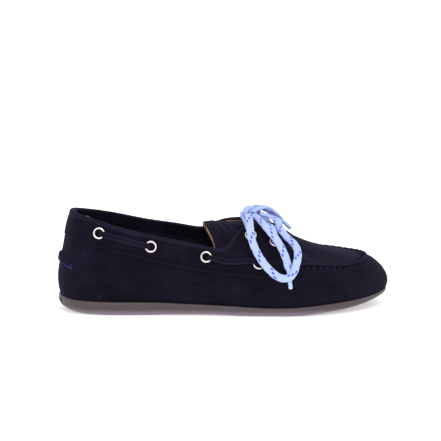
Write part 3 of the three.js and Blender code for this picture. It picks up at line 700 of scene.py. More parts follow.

# %% [markdown]
# ## Eyelet places
# Four eyelets stand along each side for the leather thong, and two at each side of the throat for
# the rope. They are punched through the band, so its faces inside a ring are left out. The lining
# stays whole behind them; where it is the near black lining, it shows in the ring as painted shade
# of the hole.

# %% Eyelet places and punching
BAND_STEP, UPPER_WALL, EYELET_WIDTH, EYELET_BORE = 1.1, 1.8, 9.4, 5.0
SIDE_EYELETS = [(2.58, 0.56, 0), (4.05, 0.57, 0), (5.91, 0.585, 0), (9.19, 0.21, 0)]
THROAT_EYELETS = [(9.13, 0.745, 0.33), (10.38, 0.63, 0)]
SIDES = {"outer": lambda section, ahead: section, "inner": lambda section, ahead: 2 * TOE - section - ahead}
SEATS = {f"{kind}_{side}_{number + 1}": (place(section, ahead), 1 + share)
         for side, place in SIDES.items()
         for kind, rows in (("side", SIDE_EYELETS), ("throat", THROAT_EYELETS))
         for number, (section, share, ahead) in enumerate(rows)}
seat_places = np.array(list(SEATS.values()))
seat_points = last(*seat_places.T)
seat_normals = normal(*seat_places.T)


def punched(points, faces, radius=3.4, depth=6.0):
    """Which faces stay when a hole is punched at each eyelet."""
    middles = points.reshape(-1, 3)[faces].mean(1)
    stay = np.ones(len(faces), bool)
    for centre, out in zip(seat_points, seat_normals):
        offset = middles - centre
        height = offset @ out
        apart = np.linalg.norm(offset - height[:, None] * out, axis=1)
        stay &= (apart > radius) | (np.abs(height) > depth)
    return stay


print("eyelets", len(SEATS))

# %% [markdown]
# ## Vamp and quarters
# The lower wall is one piece from the sole to the seam line. Round the toe its edge is gathered to
# the apron by hand, as on a moccasin: the edge stands up as a ridge, the thread pulls a groove below
# it, and the spare length of the vamp is left in small puckers, one between each two stitches.

# %% Relief along the apron seam
PUCKER, RIDGE, GROOVE = 5.4, 1.35, 0.9
fine_u = np.linspace(0, 2 * TOE, 4097)
fine_run = lengths_along(seam_line(fine_u))


def seam_run(u):
    """Millimetres along the seam line."""
    return np.interp(np.mod(u, 2 * TOE), fine_u, fine_run)


def from_seam(u, v):
    """Millimetres up the wall from the seam line, negative below it."""
    return np.where(v <= 1, (v - 1) * lower_wall(u), (v - 1) * upper_wall(u))


def apron_relief(u, v):
    """How far the suede stands off the last near the apron seam, and its painted light and shade."""
    away = from_seam(u, v)
    here = smooth(fold(u), WING_END - 0.15, WING_END + 0.25)
    beat = np.cos(2 * math.pi * seam_run(u) / PUCKER)
    uneven = 1 + 0.16 * np.sin(seam_run(u) * 0.37) + 0.1 * np.sin(seam_run(u) * 1.13)
    gathered = smooth(fold(u), 13.0, 15.0)
    ridge = (RIDGE + 0.3 * gathered) * bell(away, 1.15) * (1 + 0.10 * beat)
    groove = -GROOVE * bell(away + 2.1, 0.75)
    pucker = (0.06 + 0.10 * gathered) * uneven * beat * bell(away + 4.0, 2.4) + 0.15 * bell(away + 4.6, 2.2)
    pleats = 0.25 + 0.75 * smooth(fold(u), 12.4, 14.6)
    gather = 0.42 * pleats * uneven * beat * bell(away - 2.9, 1.7) - 0.35 * pleats * bell(away - 3.0, 1.3)
    # painted highlight on the ridge, painted shade in the groove and beside the rim, painted light and shade
    # over the puckers and pleats
    painted_shading = 0.35 * bell(away - 0.3, 0.8) - 0.8 * bell(away + 2.0, 0.8)
    painted_shading = painted_shading + 0.1 * beat * bell(away + 3.9, 2.2) - 0.45 * bell(away - 2.2, 1.1)
    painted_shading = painted_shading + 0.5 * pleats * beat * bell(away - 3.2, 1.6)
    return here * (ridge + groove + pucker + gather), here * painted_shading


print("seam line is", round(fine_run[-1]), "mm round")

# %% [markdown]
# Worn and lasted suede is never quite even. A few soft troughs and ridges, listed in sections and
# heights, and a slow unevenness over the whole wall, stand for that.

# %% Creases and vamp
CREASES = [
    (10.4, 0.30, 0.75, 0.10, 1.3, -0.22), (11.6, 0.22, 0.60, 0.16, 1.1, -0.26),
    (12.2, 0.30, 0.68, 0.12, 1.0, 0.20), (9.3, 0.35, 0.80, 0.10, 1.5, 0.18),
    (6.2, 0.25, 0.70, 0.20, 2.0, -0.20), (4.1, 0.20, 0.65, 0.25, 2.2, 0.16),
]


def creases(u, v):
    """Soft troughs and ridges: section, two heights, spread in u, width in millimetres, depth."""
    total = np.zeros(np.broadcast(u, v).shape)
    for section, low, high, lean, width, depth in CREASES:
        middle = section + (v - low) * lean / (high - low)
        along = (fold(u) - middle) * LENGTH / TOE
        reach = smooth(v, low - 0.15, low + 0.1) * (1 - smooth(v, high - 0.1, high + 0.15))
        total = total + depth * bell(along, width) * reach
    slow = 0.16 * np.sin(u * 2.1 + v * 3.0) * np.sin(u * 0.9 - v * 4.1 + 1.0)
    return total + slow * smooth(v, 0.05, 0.2) * (1 - smooth(v, 0.85, 1.0))


def wall_rows():
    return np.unique(np.concatenate([[0, 0.006], np.linspace(0, 1, 34), np.linspace(0.64, 1, 44)]))


u = np.linspace(0, 2 * TOE, 1000, endpoint=False)[None, :]
v = wall_rows()[:, None]
lift, painted_shading = apron_relief(u, v)
lift = lift + creases(u, v)
points = skin(u, v, lift)
tuck = foot_line(u[0]) - outwards(u[0]) * 0.6 - [0, 0, 2.0]
hidden = skin(u[0], np.full(u.shape[1], 1.05), np.where(fold(u[0]) < WING_END, 0.0, -1.6))
points = np.concatenate([tuck[None], points, hidden[None]])
painted_shading = np.pad(painted_shading, ((1, 1), (0, 0)), "edge")
foot_shade = -0.35 * bell((np.pad(v[:, 0], 1, "edge")[:, None]) * 30, 1.6)
faces = net_faces(*points.shape[:2], closed=True)
piece("vamp_and_quarters", points, faces, [NAVY], ["upper"], painted_shading + foot_shade)

# %% [markdown]
# ## Heel counter, collar band and wings
# The counter, the band round the collar and the wings of the throat are cut panels laid over the
# wall. A cut panel is a net a little proud of the wall whose border drops steeply, with a small
# round, to just under the surface it lies on. Rows of thread pull a shallow line beside each edge.
# A section is about 16 mm long there, a little more along the band than along the counter.

# %% Cut edges
def edged(count, run):
    """Places from 0 to 1 with close ones at both ends, and how high a cut edge stands there."""
    places = np.concatenate([[0, 0, run * 0.3], np.linspace(run, 1 - run, count), [1 - run * 0.3, 1, 1]])
    heights = np.concatenate([[-0.5, 0.5, 0.86], np.ones(count), [0.86, 0.5, -0.5]])
    return places, heights


def pulled(distance, depth=0.22, width=0.9):
    """The shallow line that a row of thread pulls into a panel."""
    return -depth * bell(distance, width)


COUNTER_STEP, EDGE_ROW, COUNTER_RUN, BAND_RUN = 0.6, 1.9, 16.0, 16.5


def counter_edge(v):
    """The section of the counter's front edge, which leans forward to the sole."""
    return COUNTER_END + 0.1 + 0.09 * (1 - v)


share, height = edged(150, 0.008)
v = np.linspace(0.0, 1.03, 60)[:, None]
u = counter_edge(v) * (2 * share - 1)[None, :]
from_edge = (1 - np.abs(2 * share - 1)) * COUNTER_END * COUNTER_RUN
lift = COUNTER_STEP * height[None] + pulled(from_edge - EDGE_ROW)[None] + creases(u, v) * 0.6
# painted highlight at the cut edge, painted shade along the stitch line
painted_shading = np.broadcast_to(0.25 * bell(from_edge, 0.5) - 0.3 * bell(from_edge - EDGE_ROW, 0.7), (60, len(share)))
points = skin(u, v, lift)
piece("heel_counter", points, net_faces(*points.shape[:2]), [NAVY], ["upper"], painted_shading)

# %% Collar band and wings
share, height = edged(620, 0.0022)
u = (WING_END * (2 * share - 1))[None, :]
padding = 0.9 * bell(fold(u), 1.5)
half = (BAND_STEP + UPPER_WALL + 0.3) / 2 + padding + 0.35 * smooth(fold(u), FIRST_WING - 1.5, FIRST_WING)
rim_v = 1.975 - 0.9 * (half - half.min()) / upper_wall(u)
climb = np.concatenate([[0, 0, 0.008], np.linspace(0.022, 1, 44)])[:, None]
climb_height = np.concatenate([[-0.5, 0.5, 0.86], np.ones(44)])
from_low = climb * (rim_v - 1) * upper_wall(u)
from_front = (1 - np.abs(2 * share - 1)) * WING_END * BAND_RUN
beat = np.cos(2 * math.pi * from_low / 4.4)
front_pull = pulled(from_front - 2.0, 0.3)[None] + 0.22 * beat * bell(from_front - 3.0, 2.4)[None]
lift = BAND_STEP * np.minimum(climb_height[:, None], height[None]) + pulled(from_low - 2.3, 0.25) + front_pull
lift = lift + 0.10 * np.sin(u * 2.7 + climb * 5) * smooth(from_low, 3, 8)
from_high = (rim_v - 1) * upper_wall(u) - from_low
lift = lift + pulled(from_high - 3.0, 0.08)
outer = skin(u, 1 + climb * (rim_v - 1), lift)
wings = smooth(fold(u), FIRST_WING - 1, FIRST_WING)
# painted highlight along the lower, top and front edges of the band, painted shade along its stitch line
painted_shading = 0.25 * bell(from_low, 0.5) - 0.35 * bell(from_low - 2.3, 0.8)
painted_shading = painted_shading + (0.35 + 0.05 * wings) * bell(from_high - 0.6, 1.0)
painted_shading = painted_shading + 0.25 * bell(from_front, 0.6)[None] + 0 * lift
print("band nets", outer.shape)

# %% [markdown]
# The band's upper edge is folded over the collar. The fold is a half round from the outer face to
# the lining, and the band runs on for 9 mm inside. Round the wings the inside is raw tan hide.

# %% The folded edge
turn = np.linspace(0, math.pi, 9)[1:, None]
up = unit(last(u[0], 2.0) - last(u[0], 1.93))
end_height = np.clip(height, 0.2, 1)[None]
rim_lift = (BAND_STEP - half * (1 - np.cos(turn))) * end_height + (1 - end_height) * -0.9
rim = skin(u, rim_v + 0 * turn, rim_lift) + up[None] * (half * 0.9 * np.sin(turn) * end_height)[..., None]
inside_share = np.linspace(0, 1, 14)[1:, None]
inside_run = np.where(fold(u) < FIRST_WING, 4.0 + 5 * smooth(fold(u), 2.2, 2.6), 0.9 * upper_wall(u))
inside_v = rim_v - inside_share * inside_run / upper_wall(u)
roll = (2 * half - BAND_STEP - UPPER_WALL) * (1 - smooth(inside_share, 0.1, 0.7))
inside_lift = -UPPER_WALL - 0.3 - roll + 0.3 * (1 - smooth(inside_share, 0.1, 0.7))
inside_lift = inside_lift + 0.55 * (inside_share > 0.97)
inside = skin(u, inside_v, inside_lift + 0 * u)
points = np.concatenate([outer, rim, inside])
# painted highlight on the folded rim; the inside face gets a painted shade
rim_highlight = (0.35 + 0.05 * wings) * np.sin(turn)
painted_shading = np.concatenate([painted_shading, rim_highlight, np.full(inside.shape[:2], -0.1)])
faces = net_faces(*points.shape[:2])
columns = points.shape[1]
rows_of, columns_of = faces[:, 0] // columns, faces[:, 0] % columns
tan_inside = (rows_of >= len(climb) + 5) & (fold(u[0][columns_of]) > FIRST_WING + 0.6)
stay = punched(points, faces) | (rows_of >= len(climb))
piece("collar_band", points, faces[stay], [NAVY, TAN], ["upper"], painted_shading, kinds=tan_inside[stay])

# %% [markdown]
# ## Apron
# The apron, or plug, is the flat panel on top of the toes. Its rear edge is the throat, which is
# turned under where the tongue comes out. Its rim is the inner half of the gathered ridge.

# %% Apron
u = np.linspace(WING_END - 0.35, 2 * TOE - WING_END + 0.35, 560)[None, :]
v = np.concatenate([1 + np.linspace(0, 0.2, 26)**1.15, np.linspace(1.19, 1.985, 50)[1:]])[:, None]
lift, painted_shading = apron_relief(u, v)
soft = 0.22 * np.sin(u * 1.3) * np.sin(v * 7 + u * 0.4) * smooth(v, 1.1, 1.3)
to_throat = (2 - v) * upper_wall(u)
lift = lift + soft + pulled(to_throat - 2.6, 0.2) + 0.25 * bell(to_throat, 1.6)
under = smooth(fold(u), WING_END - 0.4, WING_END + 0.1)
points = skin(u, v, lift - 0.6 * (1 - under))
turn = np.linspace(0, math.pi, 7)[1:, None]
back = unit(last(u[0], 2.0) - last(u[0], 1.96))
rim_lift = 0.25 - 0.95 * (1 - np.cos(turn)) + 0 * u
rim = skin(u, np.full(turn.shape, 1.985), rim_lift) + back[None] * (0.95 * np.sin(turn))[..., None]
inside = skin(u, np.array([1.9, 1.8])[:, None], np.full((2, 1), -1.7) + 0 * u)
points = np.concatenate([points, rim, inside])
# painted highlight on the rolled rim and along the throat edge, painted shade on the turned-under inside
rim_highlight, inside_shade = np.full(rim.shape[:2], 0.2), np.full(inside.shape[:2], -0.2)
painted_shading = np.concatenate([painted_shading + 0.3 * bell(to_throat, 1.2), rim_highlight, inside_shade])
piece("apron", points, net_faces(*points.shape[:2]), [NAVY], ["upper"], painted_shading)

# %% [markdown]
# ## Lining
# The lining is the inner wall, one wall thickness in from the last, with its faces turned to the
# foot. It is painted near black along the sides, a dark lining that also stands for the shade
# inside the shoe, and raw tan hide at the heel grip and in the throat.

# %% Lining
u = np.linspace(0, 2 * TOE, 420, endpoint=False)[None, :]
v = np.linspace(0.0, 1.96, 48)[:, None]
points = skin(u, v, np.full(v.shape, -UPPER_WALL) + 0.12 * np.sin(u * 3.1 + v * 4))
points[0] = foot_line(u[0]) - outwards(u[0]) * UPPER_WALL - [0, 0, 0.4]
faces = net_faces(*points.shape[:2], closed=True)[:, ::-1]
corner_u, corner_v = fold(u[0][faces[:, 1] % 420]), v[faces[:, 1] // 420, 0]
tan = ((corner_u > FIRST_WING + 0.6) & (corner_v > 1.25)) | ((corner_u < 2.25) & (corner_v > 0.7))
piece("lining", points, faces, [DARK_LINING_AND_SHADE, TAN], ["upper"], kinds=tan)

# %% [markdown]
# ## Sole and insole
# The sole is a thin moulded cup. Its side is carried round the foot line: nearly upright, then
# rounded under to the tread, far under at the heel. The tread spans from the outer edge to the
# inner edge, flat under heel and ball and raised under arch and toes, with fine zigzag cuts.

# %% Sole
SOLE_EDGE, GAP = 2.2, 0.3
SOLE_SIDE = [(-0.6, 0, 1.0), (0.45, 0, 1.0), (0.75, 0, 0.975), (0.93, 0.01, 0.90), (1.0, 0.07, 0.62),
             (0.96, 0.15, 0.48), (0.84, 0.30, 0.31), (0.50, 0.56, 0.14), (0.14, 0.86, 0.03), (0, 1, 0)]
side = through(SOLE_SIDE, 4)


def sole_net(u, rows, proud=0.0):
    """Points on the sole's side at each section and each row of the side, moved out by proud."""
    low = np.maximum(tread["height"](u) * FEATHER_HEIGHT, 0)
    high = foot_line(u)[:, 2] - GAP + 0.5
    tuck = rows[:, 1:2] * tread["tuck"](u) * FEATHER_HEIGHT
    out = rows[:, :1] * SOLE_EDGE * tread["edge"](u) - tuck + proud
    net = foot_line(u)[None] + outwards(u)[None] * out[..., None]
    net[..., 2] = low + (high - low) * np.clip(rows[:, 2:], 0, 1)
    return net


points = sole_net(np.linspace(0, 2 * TOE, 640, endpoint=False), side)
faces = net_faces(*points.shape[:2], closed=True)[:, ::-1]
piece("sole", points, faces, [RUBBER], ["outsole"])
outer_rim = points[-1][:321]
inner_rim = points[-1][np.mod(-np.arange(321), 640)]
share = np.linspace(0, 1, 25)[:, None, None]
tread_net = outer_rim * (1 - share) + inner_rim * share
piece("tread", tread_net, net_faces(25, 321)[:, ::-1], [TREAD_RUBBER], ["outsole"])

# %% [markdown]
# A small dark plate lies on the back of the sole's heel. It is a net over the same side, a little
# proud of it, with its border sunk in.

# %% Heel patch
patch_u = np.linspace(-0.46, 0.46, 30)
rows = side[(side[:, 2] < 0.86) & (side[:, 2] > 0.3)]
proud = np.full((len(rows), len(patch_u)), 0.3)
proud[[0, -1]] = -0.3
proud[:, [0, -1]] = -0.3
points = sole_net(patch_u, rows, proud)
piece("bare_heel_patch", points, net_faces(*points.shape[:2])[:, ::-1], [PATCH])

# %% Insole
u = np.linspace(0, TOE, 261)
edge = foot_line(u) - outwards(u) * (UPPER_WALL + GAP) + [0, 0, 3.0]
far_edge = foot_line(-u) - outwards(-u) * (UPPER_WALL + GAP) + [0, 0, 3.0]
share = np.linspace(0, 1, 41)[:, None, None]
bed = edge * (1 - share) + far_edge * share
bed[..., 2] -= 0.7 * np.sin(math.pi * share[..., 0]) * np.sin(math.pi * np.clip(u / TOE, 0, 1))
bed[[0, -1], :, 2] -= 3.0
piece("insole_bed", bed, net_faces(41, 261), [INSOLE], ["insole"])

# %% [markdown]
# ## Tongue
# The tongue is a tall flap of suede. It comes from under the apron's edge, follows the inside of
# the wings and crosses the instep in an arch. Across it are a few folds where it bends with the
# foot, with painted highlight on their tops and painted shade in their troughs. Its cut rear edge
# shows the raw tan hide, and its underside is painted near black, a dark lining that also stands
# for the shade under it.

# %% Tongue
TONGUE_BACK = [(6.5, 0.40, 0.442, 0.967), (7.0, 0.38, 0.463, 0.974), (7.6, 0.36, 0.492, 0.977),
               (8.3, 0.36, 0.525, 0.971), (9.2, 0.38, 0.566, 0.955), (10.2, 0.40, 0.620, 0.895),
               (11.0, 0.38, 0.672, 0.812)]
TONGUE_FRONT = [(12.3, 0.16, 0.05), (13.6, 0.14, 0.11)]
TONGUE_THICKNESS, TONGUE_UNDER = 2.4, -UPPER_WALL - 1.7


def tongue_half(u, depth, follow, middle, over):
    """The top face on one side: up the inside of the wing, then over to the ridge."""
    start = 2.0 if follow else 2 - depth
    heights = 2 - depth + depth * np.arange(follow) / max(follow, 1)
    climb = skin(np.full(follow, u), heights, np.full(follow, TONGUE_UNDER))
    base = skin(np.array(u), start, TONGUE_UNDER)
    leaving = unit(base - skin(np.array(u), start - PROBE, TONGUE_UNDER))
    crossing = arc(base, middle, leaving, np.array(over, float), np.linspace(0, 1, 25))
    line = np.concatenate([climb, crossing])
    return spaced(line, lengths_along(line)[-1] / 36)[:37]


def tongue_row(section, depth, follow, middle):
    outer_half = tongue_half(section, depth, follow, middle, (0, 1, 0))
    inner_half = tongue_half(2 * TOE - section, depth, follow, middle, (0, -1, 0))
    return np.concatenate([outer_half, inner_half[-2::-1]])


rows = [tongue_row(section, depth, 4, np.array([x * LENGTH, 0, z * INSTEP_HEIGHT]))
        for section, depth, x, z in TONGUE_BACK]
rows += [tongue_row(section, depth, 0, skin(np.array(16.0), 2 - middle, TONGUE_UNDER))
         for section, depth, middle in TONGUE_FRONT]
tongue = through(np.array(rows), 12)
print("tongue net", tongue.shape)

# %% Folds and thickness of the tongue
TONGUE_FOLDS = [(0.20, 0.30, 0.34, 0.35), (0.245, 0.31, 0.36, -0.4), (0.285, 0.32, 0.38, 0.4),
                (0.33, 0.33, 0.40, -0.4), (0.375, 0.33, 0.41, 0.3)]


def net_normals(net):
    along, across = np.gradient(net, axis=0), np.gradient(net, axis=1)
    return unit(np.cross(along, across))


back = np.linspace(0, 1, tongue.shape[0])[:, None]
over = np.linspace(0, 1, tongue.shape[1])[None, :]
folds = np.zeros(tongue.shape[:2])
for start, low, high, depth in TONGUE_FOLDS:
    for flank in (over, 1 - over):
        reach = smooth(flank, low - 0.07, low) * (1 - smooth(flank, high, high + 0.07))
        folds = folds + depth * bell(back - start + 0.5 * (flank - low), 0.012) * reach
folds = folds + 0.18 * np.sin(over * 9 + back * 7) * np.sin(back * 13)
out = net_normals(tongue)
out = out * np.sign(out[tongue.shape[0] // 2, tongue.shape[1] // 2, 2])
sunk = 1.4 * (1 - smooth(back, 0.45, 0.8)) * smooth(over, 0.1, 0.3) * (1 - smooth(over, 0.7, 0.9))
tongue[..., 2] -= sunk
top_face = tongue + out * (folds - 0.1)[..., None]
top_face[0, :, 0] += 0.8
under_face = tongue - out * (TONGUE_THICKNESS - folds)[..., None]
rear = [top_face[:1] * (1 - t) + under_face[:1] * t - [0.35 * math.sin(math.pi * t), 0, 0]
        for t in (0.15, 0.5, 0.85)]
points = np.concatenate([top_face[::-1], *rear, under_face])
# the underside takes the near black lining, painted shade under the tongue; the rear rows are the tan cut
# edge
row_kinds = np.zeros(len(points) - 1, int)
row_kinds[len(top_face) - 1:] = 2
row_kinds[len(top_face):len(top_face) + 3] = 1
kinds = np.repeat(row_kinds, points.shape[1] - 1)
# painted highlight on the tops of the folds, painted shade in their troughs
painted_shading = np.zeros(points.shape[:2])
painted_shading[:len(top_face)] = np.clip(folds * 0.9, -0.5, 0.6)[::-1]
faces = net_faces(*points.shape[:2])
turned = np.cross(points[0, 1] - points[0, 0], points[1, 0] - points[0, 0]) @ out[-1, 0]
faces = faces if turned > 0 else faces[:, ::-1]
piece("tongue_flap", points, faces, [NAVY, TAN, DARK_LINING_AND_SHADE], ["tongue"], painted_shading, kinds=kinds)

# %% [markdown]
# ## Heel tab
# A folded strip of suede is sewn across the back of the counter, over the end of the centre seam.
# It is a net bent round the heel, thick at its middle and rolled at its rims and ends.

# %% Heel tab
TAB_REACH, TAB_THICKNESS = 1.2, 1.6


def tab_heights(u):
    spread = (u / TAB_REACH)**2
    return 0.57 - 0.03 * spread, 0.70 - 0.05 * spread


across = np.linspace(-TAB_REACH, TAB_REACH, 90)
tab_low, tab_high = tab_heights(across)
turn = np.linspace(0, 2 * math.pi, 40, endpoint=False)[:, None]
up = np.sign(np.sin(turn)) * np.abs(np.sin(turn))**0.6
thick = np.sign(-np.cos(turn)) * np.abs(np.cos(turn))**0.7
middle, reach = (tab_low + tab_high) / 2, (tab_high - tab_low) / 2
end_round = np.sqrt(np.clip(1 - (np.abs(across) / TAB_REACH)**14, 0, 1))
height = middle + reach * up * (0.55 + 0.45 * end_round)
lift = COUNTER_STEP + 0.1 + TAB_THICKNESS * (0.5 + 0.5 * thick * (0.25 + 0.75 * end_round))
lift = lift + pulled((np.abs(up) - 0.62) * 6, 0.35) * (thick > 0)
tab = skin(across[None] + 0 * height, height, lift)
# painted highlight along the tab's rolled rims
tab_rim_highlight = np.clip(0.4 * bell((np.abs(up) - 0.95) * 4, 1), 0, 1) * np.ones(height.shape)
tab_net = np.moveaxis(tab, 0, 1)
faces = net_faces(90, 40, closed=True)
caps = [list(range(39, -1, -1)), list(range(89 * 40, 90 * 40))]
checked = np.cross(tab_net[45, 11] - tab_net[45, 10], tab_net[46, 10] - tab_net[45, 10]) @ normal(0.0, 0.66)
aim_out = checked * np.sign(thick[10, 0]) > 0
faces = faces if aim_out else faces[:, ::-1]
piece("folded_heel_tab", tab_net, [*faces, *caps], [NAVY], ["heel_tab"], tab_rim_highlight.T)

# %% [markdown]
# ## Thongs
# On each side a flat leather thong runs through the band and shows twice, between the first and
# second and between the third and fourth eyelet. Its ends dive through the rings.

# %% Thongs
THONG_WIDTH, THONG_THICKNESS = 4.5, 1.6
THONGS = [(1, 2), (3, 4)]
for side_name in SIDES:
    for number, (first, second) in enumerate(THONGS, 1):
        (u0, v0), (u1, v1) = SEATS[f"side_{side_name}_{first}"], SEATS[f"side_{side_name}_{second}"]
        t = np.linspace(0, 1, 90)
        u, v = u0 + (u1 - u0) * t, v0 + (v1 - v0) * t
        far = np.minimum(t, 1 - t) * lengths_along(last(u, v))[-1]
        lift = BAND_STEP + 0.9 + 1.9 * bell(far - 3.6, 2.3) - 3.4 * (1 - smooth(far, 0, 2.6))
        line = skin(u, v, lift)
        facing = normal(u, v)
        tangent = unit(np.gradient(line, axis=0))
        facing = unit(facing - (facing * tangent).sum(1, keepdims=True) * tangent)
        width = THONG_WIDTH - 0.9 * (1 - smooth(far, 1.5, 4.5))
        # the thong's side edges get a painted highlight
        tube(f"side_thong_{side_name}_{number}", line, facing, width, THONG_THICKNESS, THONG,
             [f"thong_{side_name}_{number}"], sides=16, squareness=0.55, edge_highlight=0.35)

# %% [markdown]
# ## Eyelets and stitches
# Rings and stitches repeat hundreds of times, so Geometry Nodes place them. The base is a mesh of
# loose points that carry two directions: out of the surface, and along the seam. A tree sets one
# ring or stitch on each point, turned to both, makes them real and gives them their finish. The
# result is then turned into a plain mesh.

# %% Points that carry directions
def place_points(name, positions, outs, alongs):
    mesh = bpy.data.meshes.new(name)
    mesh.from_pydata(metres(positions).tolist(), [], [])
    for label, vectors in (("out", outs), ("along", alongs)):
        layer = mesh.attributes.new(label, "FLOAT_VECTOR", "POINT")
        layer.data.foreach_set("vector", np.ascontiguousarray(vectors, np.float32).ravel())
    thing = bpy.data.objects.new(name, mesh)
    bpy.context.scene.collection.objects.link(thing)
    return thing


class Tree:
    """A Geometry Nodes tree with named inputs."""

    def __init__(self, name, sizes):
        self.group = bpy.data.node_groups.new(name, "GeometryNodeTree")
        face = self.group.interface
        face.new_socket("Geometry", in_out="INPUT", socket_type="NodeSocketGeometry")
        self.names = {}
        for label, kind in sizes:
            self.names[label] = face.new_socket(label, in_out="INPUT", socket_type=kind).identifier
        face.new_socket("Geometry", in_out="OUTPUT", socket_type="NodeSocketGeometry")
        self.start = self.group.nodes.new("NodeGroupInput")
        self.end = self.group.nodes.new("NodeGroupOutput")

    def node(self, kind, settings=None, values=None):
        made = self.group.nodes.new(kind)
        for name, setting in (settings or {}).items():
            setattr(made, name, setting)
        for name, value in (values or {}).items():
            if isinstance(value, bpy.types.NodeSocket):
                self.group.links.new(value, made.inputs[name])
            else:
                made.inputs[name].default_value = value
        return made

    def set_on_points(self, shape, scale):
        """Sets the shape on each point, turned to its two directions, and ends the tree."""
        out = self.node("GeometryNodeInputNamedAttribute", {"data_type": "FLOAT_VECTOR"}, {"Name": "out"})
        along = self.node("GeometryNodeInputNamedAttribute", {"data_type": "FLOAT_VECTOR"}, {"Name": "along"})
        upright = self.node("FunctionNodeAlignRotationToVector", {"axis": "Z"}, {"Vector": out.outputs[0]})
        turned = self.node("FunctionNodeAlignRotationToVector", {"axis": "X", "pivot_axis": "Z"},
                           {"Rotation": upright.outputs[0], "Vector": along.outputs[0]})
        placed = self.node("GeometryNodeInstanceOnPoints", values={
            "Points": self.start.outputs["Geometry"], "Instance": shape,
            "Rotation": turned.outputs[0], "Scale": scale})
        real = self.node("GeometryNodeRealizeInstances", values={"Geometry": placed.outputs[0]})
        smoothed = self.node("GeometryNodeSetShadeSmooth", values={"Geometry": real.outputs[0]})
        finished = self.node("GeometryNodeSetMaterial", values={
            "Geometry": smoothed.outputs[0], "Material": self.start.outputs["Finish"]})
        self.group.links.new(finished.outputs[0], self.end.inputs[0])


def grown(base, tree, name, slot, nodes=(), **inputs):
    """The tree's result on a base of points, as a plain mesh."""
    modifier = base.modifiers.new("tree", "NODES")
    modifier.node_group = tree.group
    for label, value in inputs.items():
        modifier[tree.names[label]] = value
    base.update_tag()
    bpy.context.view_layer.update()
    evaluated = base.evaluated_get(bpy.context.evaluated_depsgraph_get())
    mesh = bpy.data.meshes.new_from_object(evaluated)
    base.modifiers.remove(modifier)
    base.data = mesh
    base.name = mesh.name = name
    return dress(base, nodes)


print("tree helpers are ready")

# %% A ring
ring_tree = Tree("eyelet_ring", [("Outer", "NodeSocketFloat"), ("Bore", "NodeSocketFloat"),
                                 ("Rise", "NodeSocketFloat"), ("Depth", "NodeSocketFloat"),
                                 ("Finish", "NodeSocketMaterial")])
given = ring_tree.start.outputs


def sum_of(tree, operation, first, second):
    return tree.node("ShaderNodeMath", {"operation": operation}, {0: first, 1: second}).outputs[0]


outer_and_bore = sum_of(ring_tree, "ADD", given["Outer"], given["Bore"])
wide = sum_of(ring_tree, "MULTIPLY", outer_and_bore, 0.25)
roll = sum_of(ring_tree, "MULTIPLY", sum_of(ring_tree, "SUBTRACT", given["Outer"], given["Bore"]), 0.25)
circle = ring_tree.node("GeometryNodeCurvePrimitiveCircle", values={"Resolution": 48, "Radius": wide})
section = ring_tree.node("GeometryNodeCurvePrimitiveCircle", values={"Resolution": 14, "Radius": roll})
rim = ring_tree.node("GeometryNodeCurveToMesh", values={
    "Curve": circle.outputs[0], "Profile Curve": section.outputs[0]})
rise = sum_of(ring_tree, "DIVIDE", given["Rise"], roll)
flat = ring_tree.node("ShaderNodeCombineXYZ", values={0: 1.0, 1: 1.0, 2: rise})
flattened = ring_tree.node("GeometryNodeTransform",
                           values={"Geometry": rim.outputs[0], "Scale": flat.outputs[0]})
barrel_radius = sum_of(ring_tree, "MULTIPLY", given["Bore"], 0.52)
barrel = ring_tree.node("GeometryNodeMeshCylinder", {"fill_type": "NONE"},
                        {"Vertices": 40, "Side Segments": 2, "Radius": barrel_radius,
                         "Depth": given["Depth"]})
inward = ring_tree.node("GeometryNodeFlipFaces", values={"Mesh": barrel.outputs["Mesh"]})
drop = sum_of(ring_tree, "MULTIPLY", given["Depth"], -0.5)
lowered = ring_tree.node("ShaderNodeCombineXYZ", values={2: drop})
sunk = ring_tree.node("GeometryNodeTransform",
                      values={"Geometry": inward.outputs[0], "Translation": lowered.outputs[0]})
joined = ring_tree.node("GeometryNodeJoinGeometry")
ring_tree.group.links.new(flattened.outputs[0], joined.inputs[0])
ring_tree.group.links.new(sunk.outputs[0], joined.inputs[0])
ring_tree.set_on_points(joined.outputs[0], (1, 1, 1))
seat_lift = seat_points + seat_normals * (BAND_STEP + 0.35)
base = place_points("eyelet_seats", seat_lift, seat_normals, np.tile([[1.0, 0, 0.01]], (len(seat_lift), 1)))
grown(base, ring_tree, "eyelet_rings", "nickel", [f"eyelet_{name}" for name in SEATS],
      Outer=EYELET_WIDTH * 0.001, Bore=(EYELET_BORE + 1.0) * 0.001, Rise=0.0010, Depth=0.0026, Finish=NICKEL)

# %% A stitch
stitch_tree = Tree("stitch_row", [("Length", "NodeSocketFloat"), ("Thickness", "NodeSocketFloat"),
                                  ("Unevenness", "NodeSocketFloat"), ("Seed", "NodeSocketInt"),
                                  ("Finish", "NodeSocketMaterial")])
given = stitch_tree.start.outputs
bead = stitch_tree.node("GeometryNodeMeshUVSphere", values={"Segments": 8, "Rings": 5, "Radius": 0.5})
size = stitch_tree.node("ShaderNodeCombineXYZ", values={
    0: given["Length"], 1: given["Thickness"], 2: given["Thickness"]})
thread = stitch_tree.node("GeometryNodeTransform",
                          values={"Geometry": bead.outputs["Mesh"], "Scale": size.outputs[0]})
least = sum_of(stitch_tree, "SUBTRACT", 1.0, given["Unevenness"])
most = sum_of(stitch_tree, "ADD", 1.0, given["Unevenness"])
varied = stitch_tree.node("FunctionNodeRandomValue", {"data_type": "FLOAT"})
for value, place in ((least, 2), (most, 3)):
    stitch_tree.group.links.new(value, varied.inputs[place])
stitch_tree.group.links.new(given["Seed"], varied.inputs["Seed"])
stitch_tree.set_on_points(thread.outputs[0], varied.outputs[1])


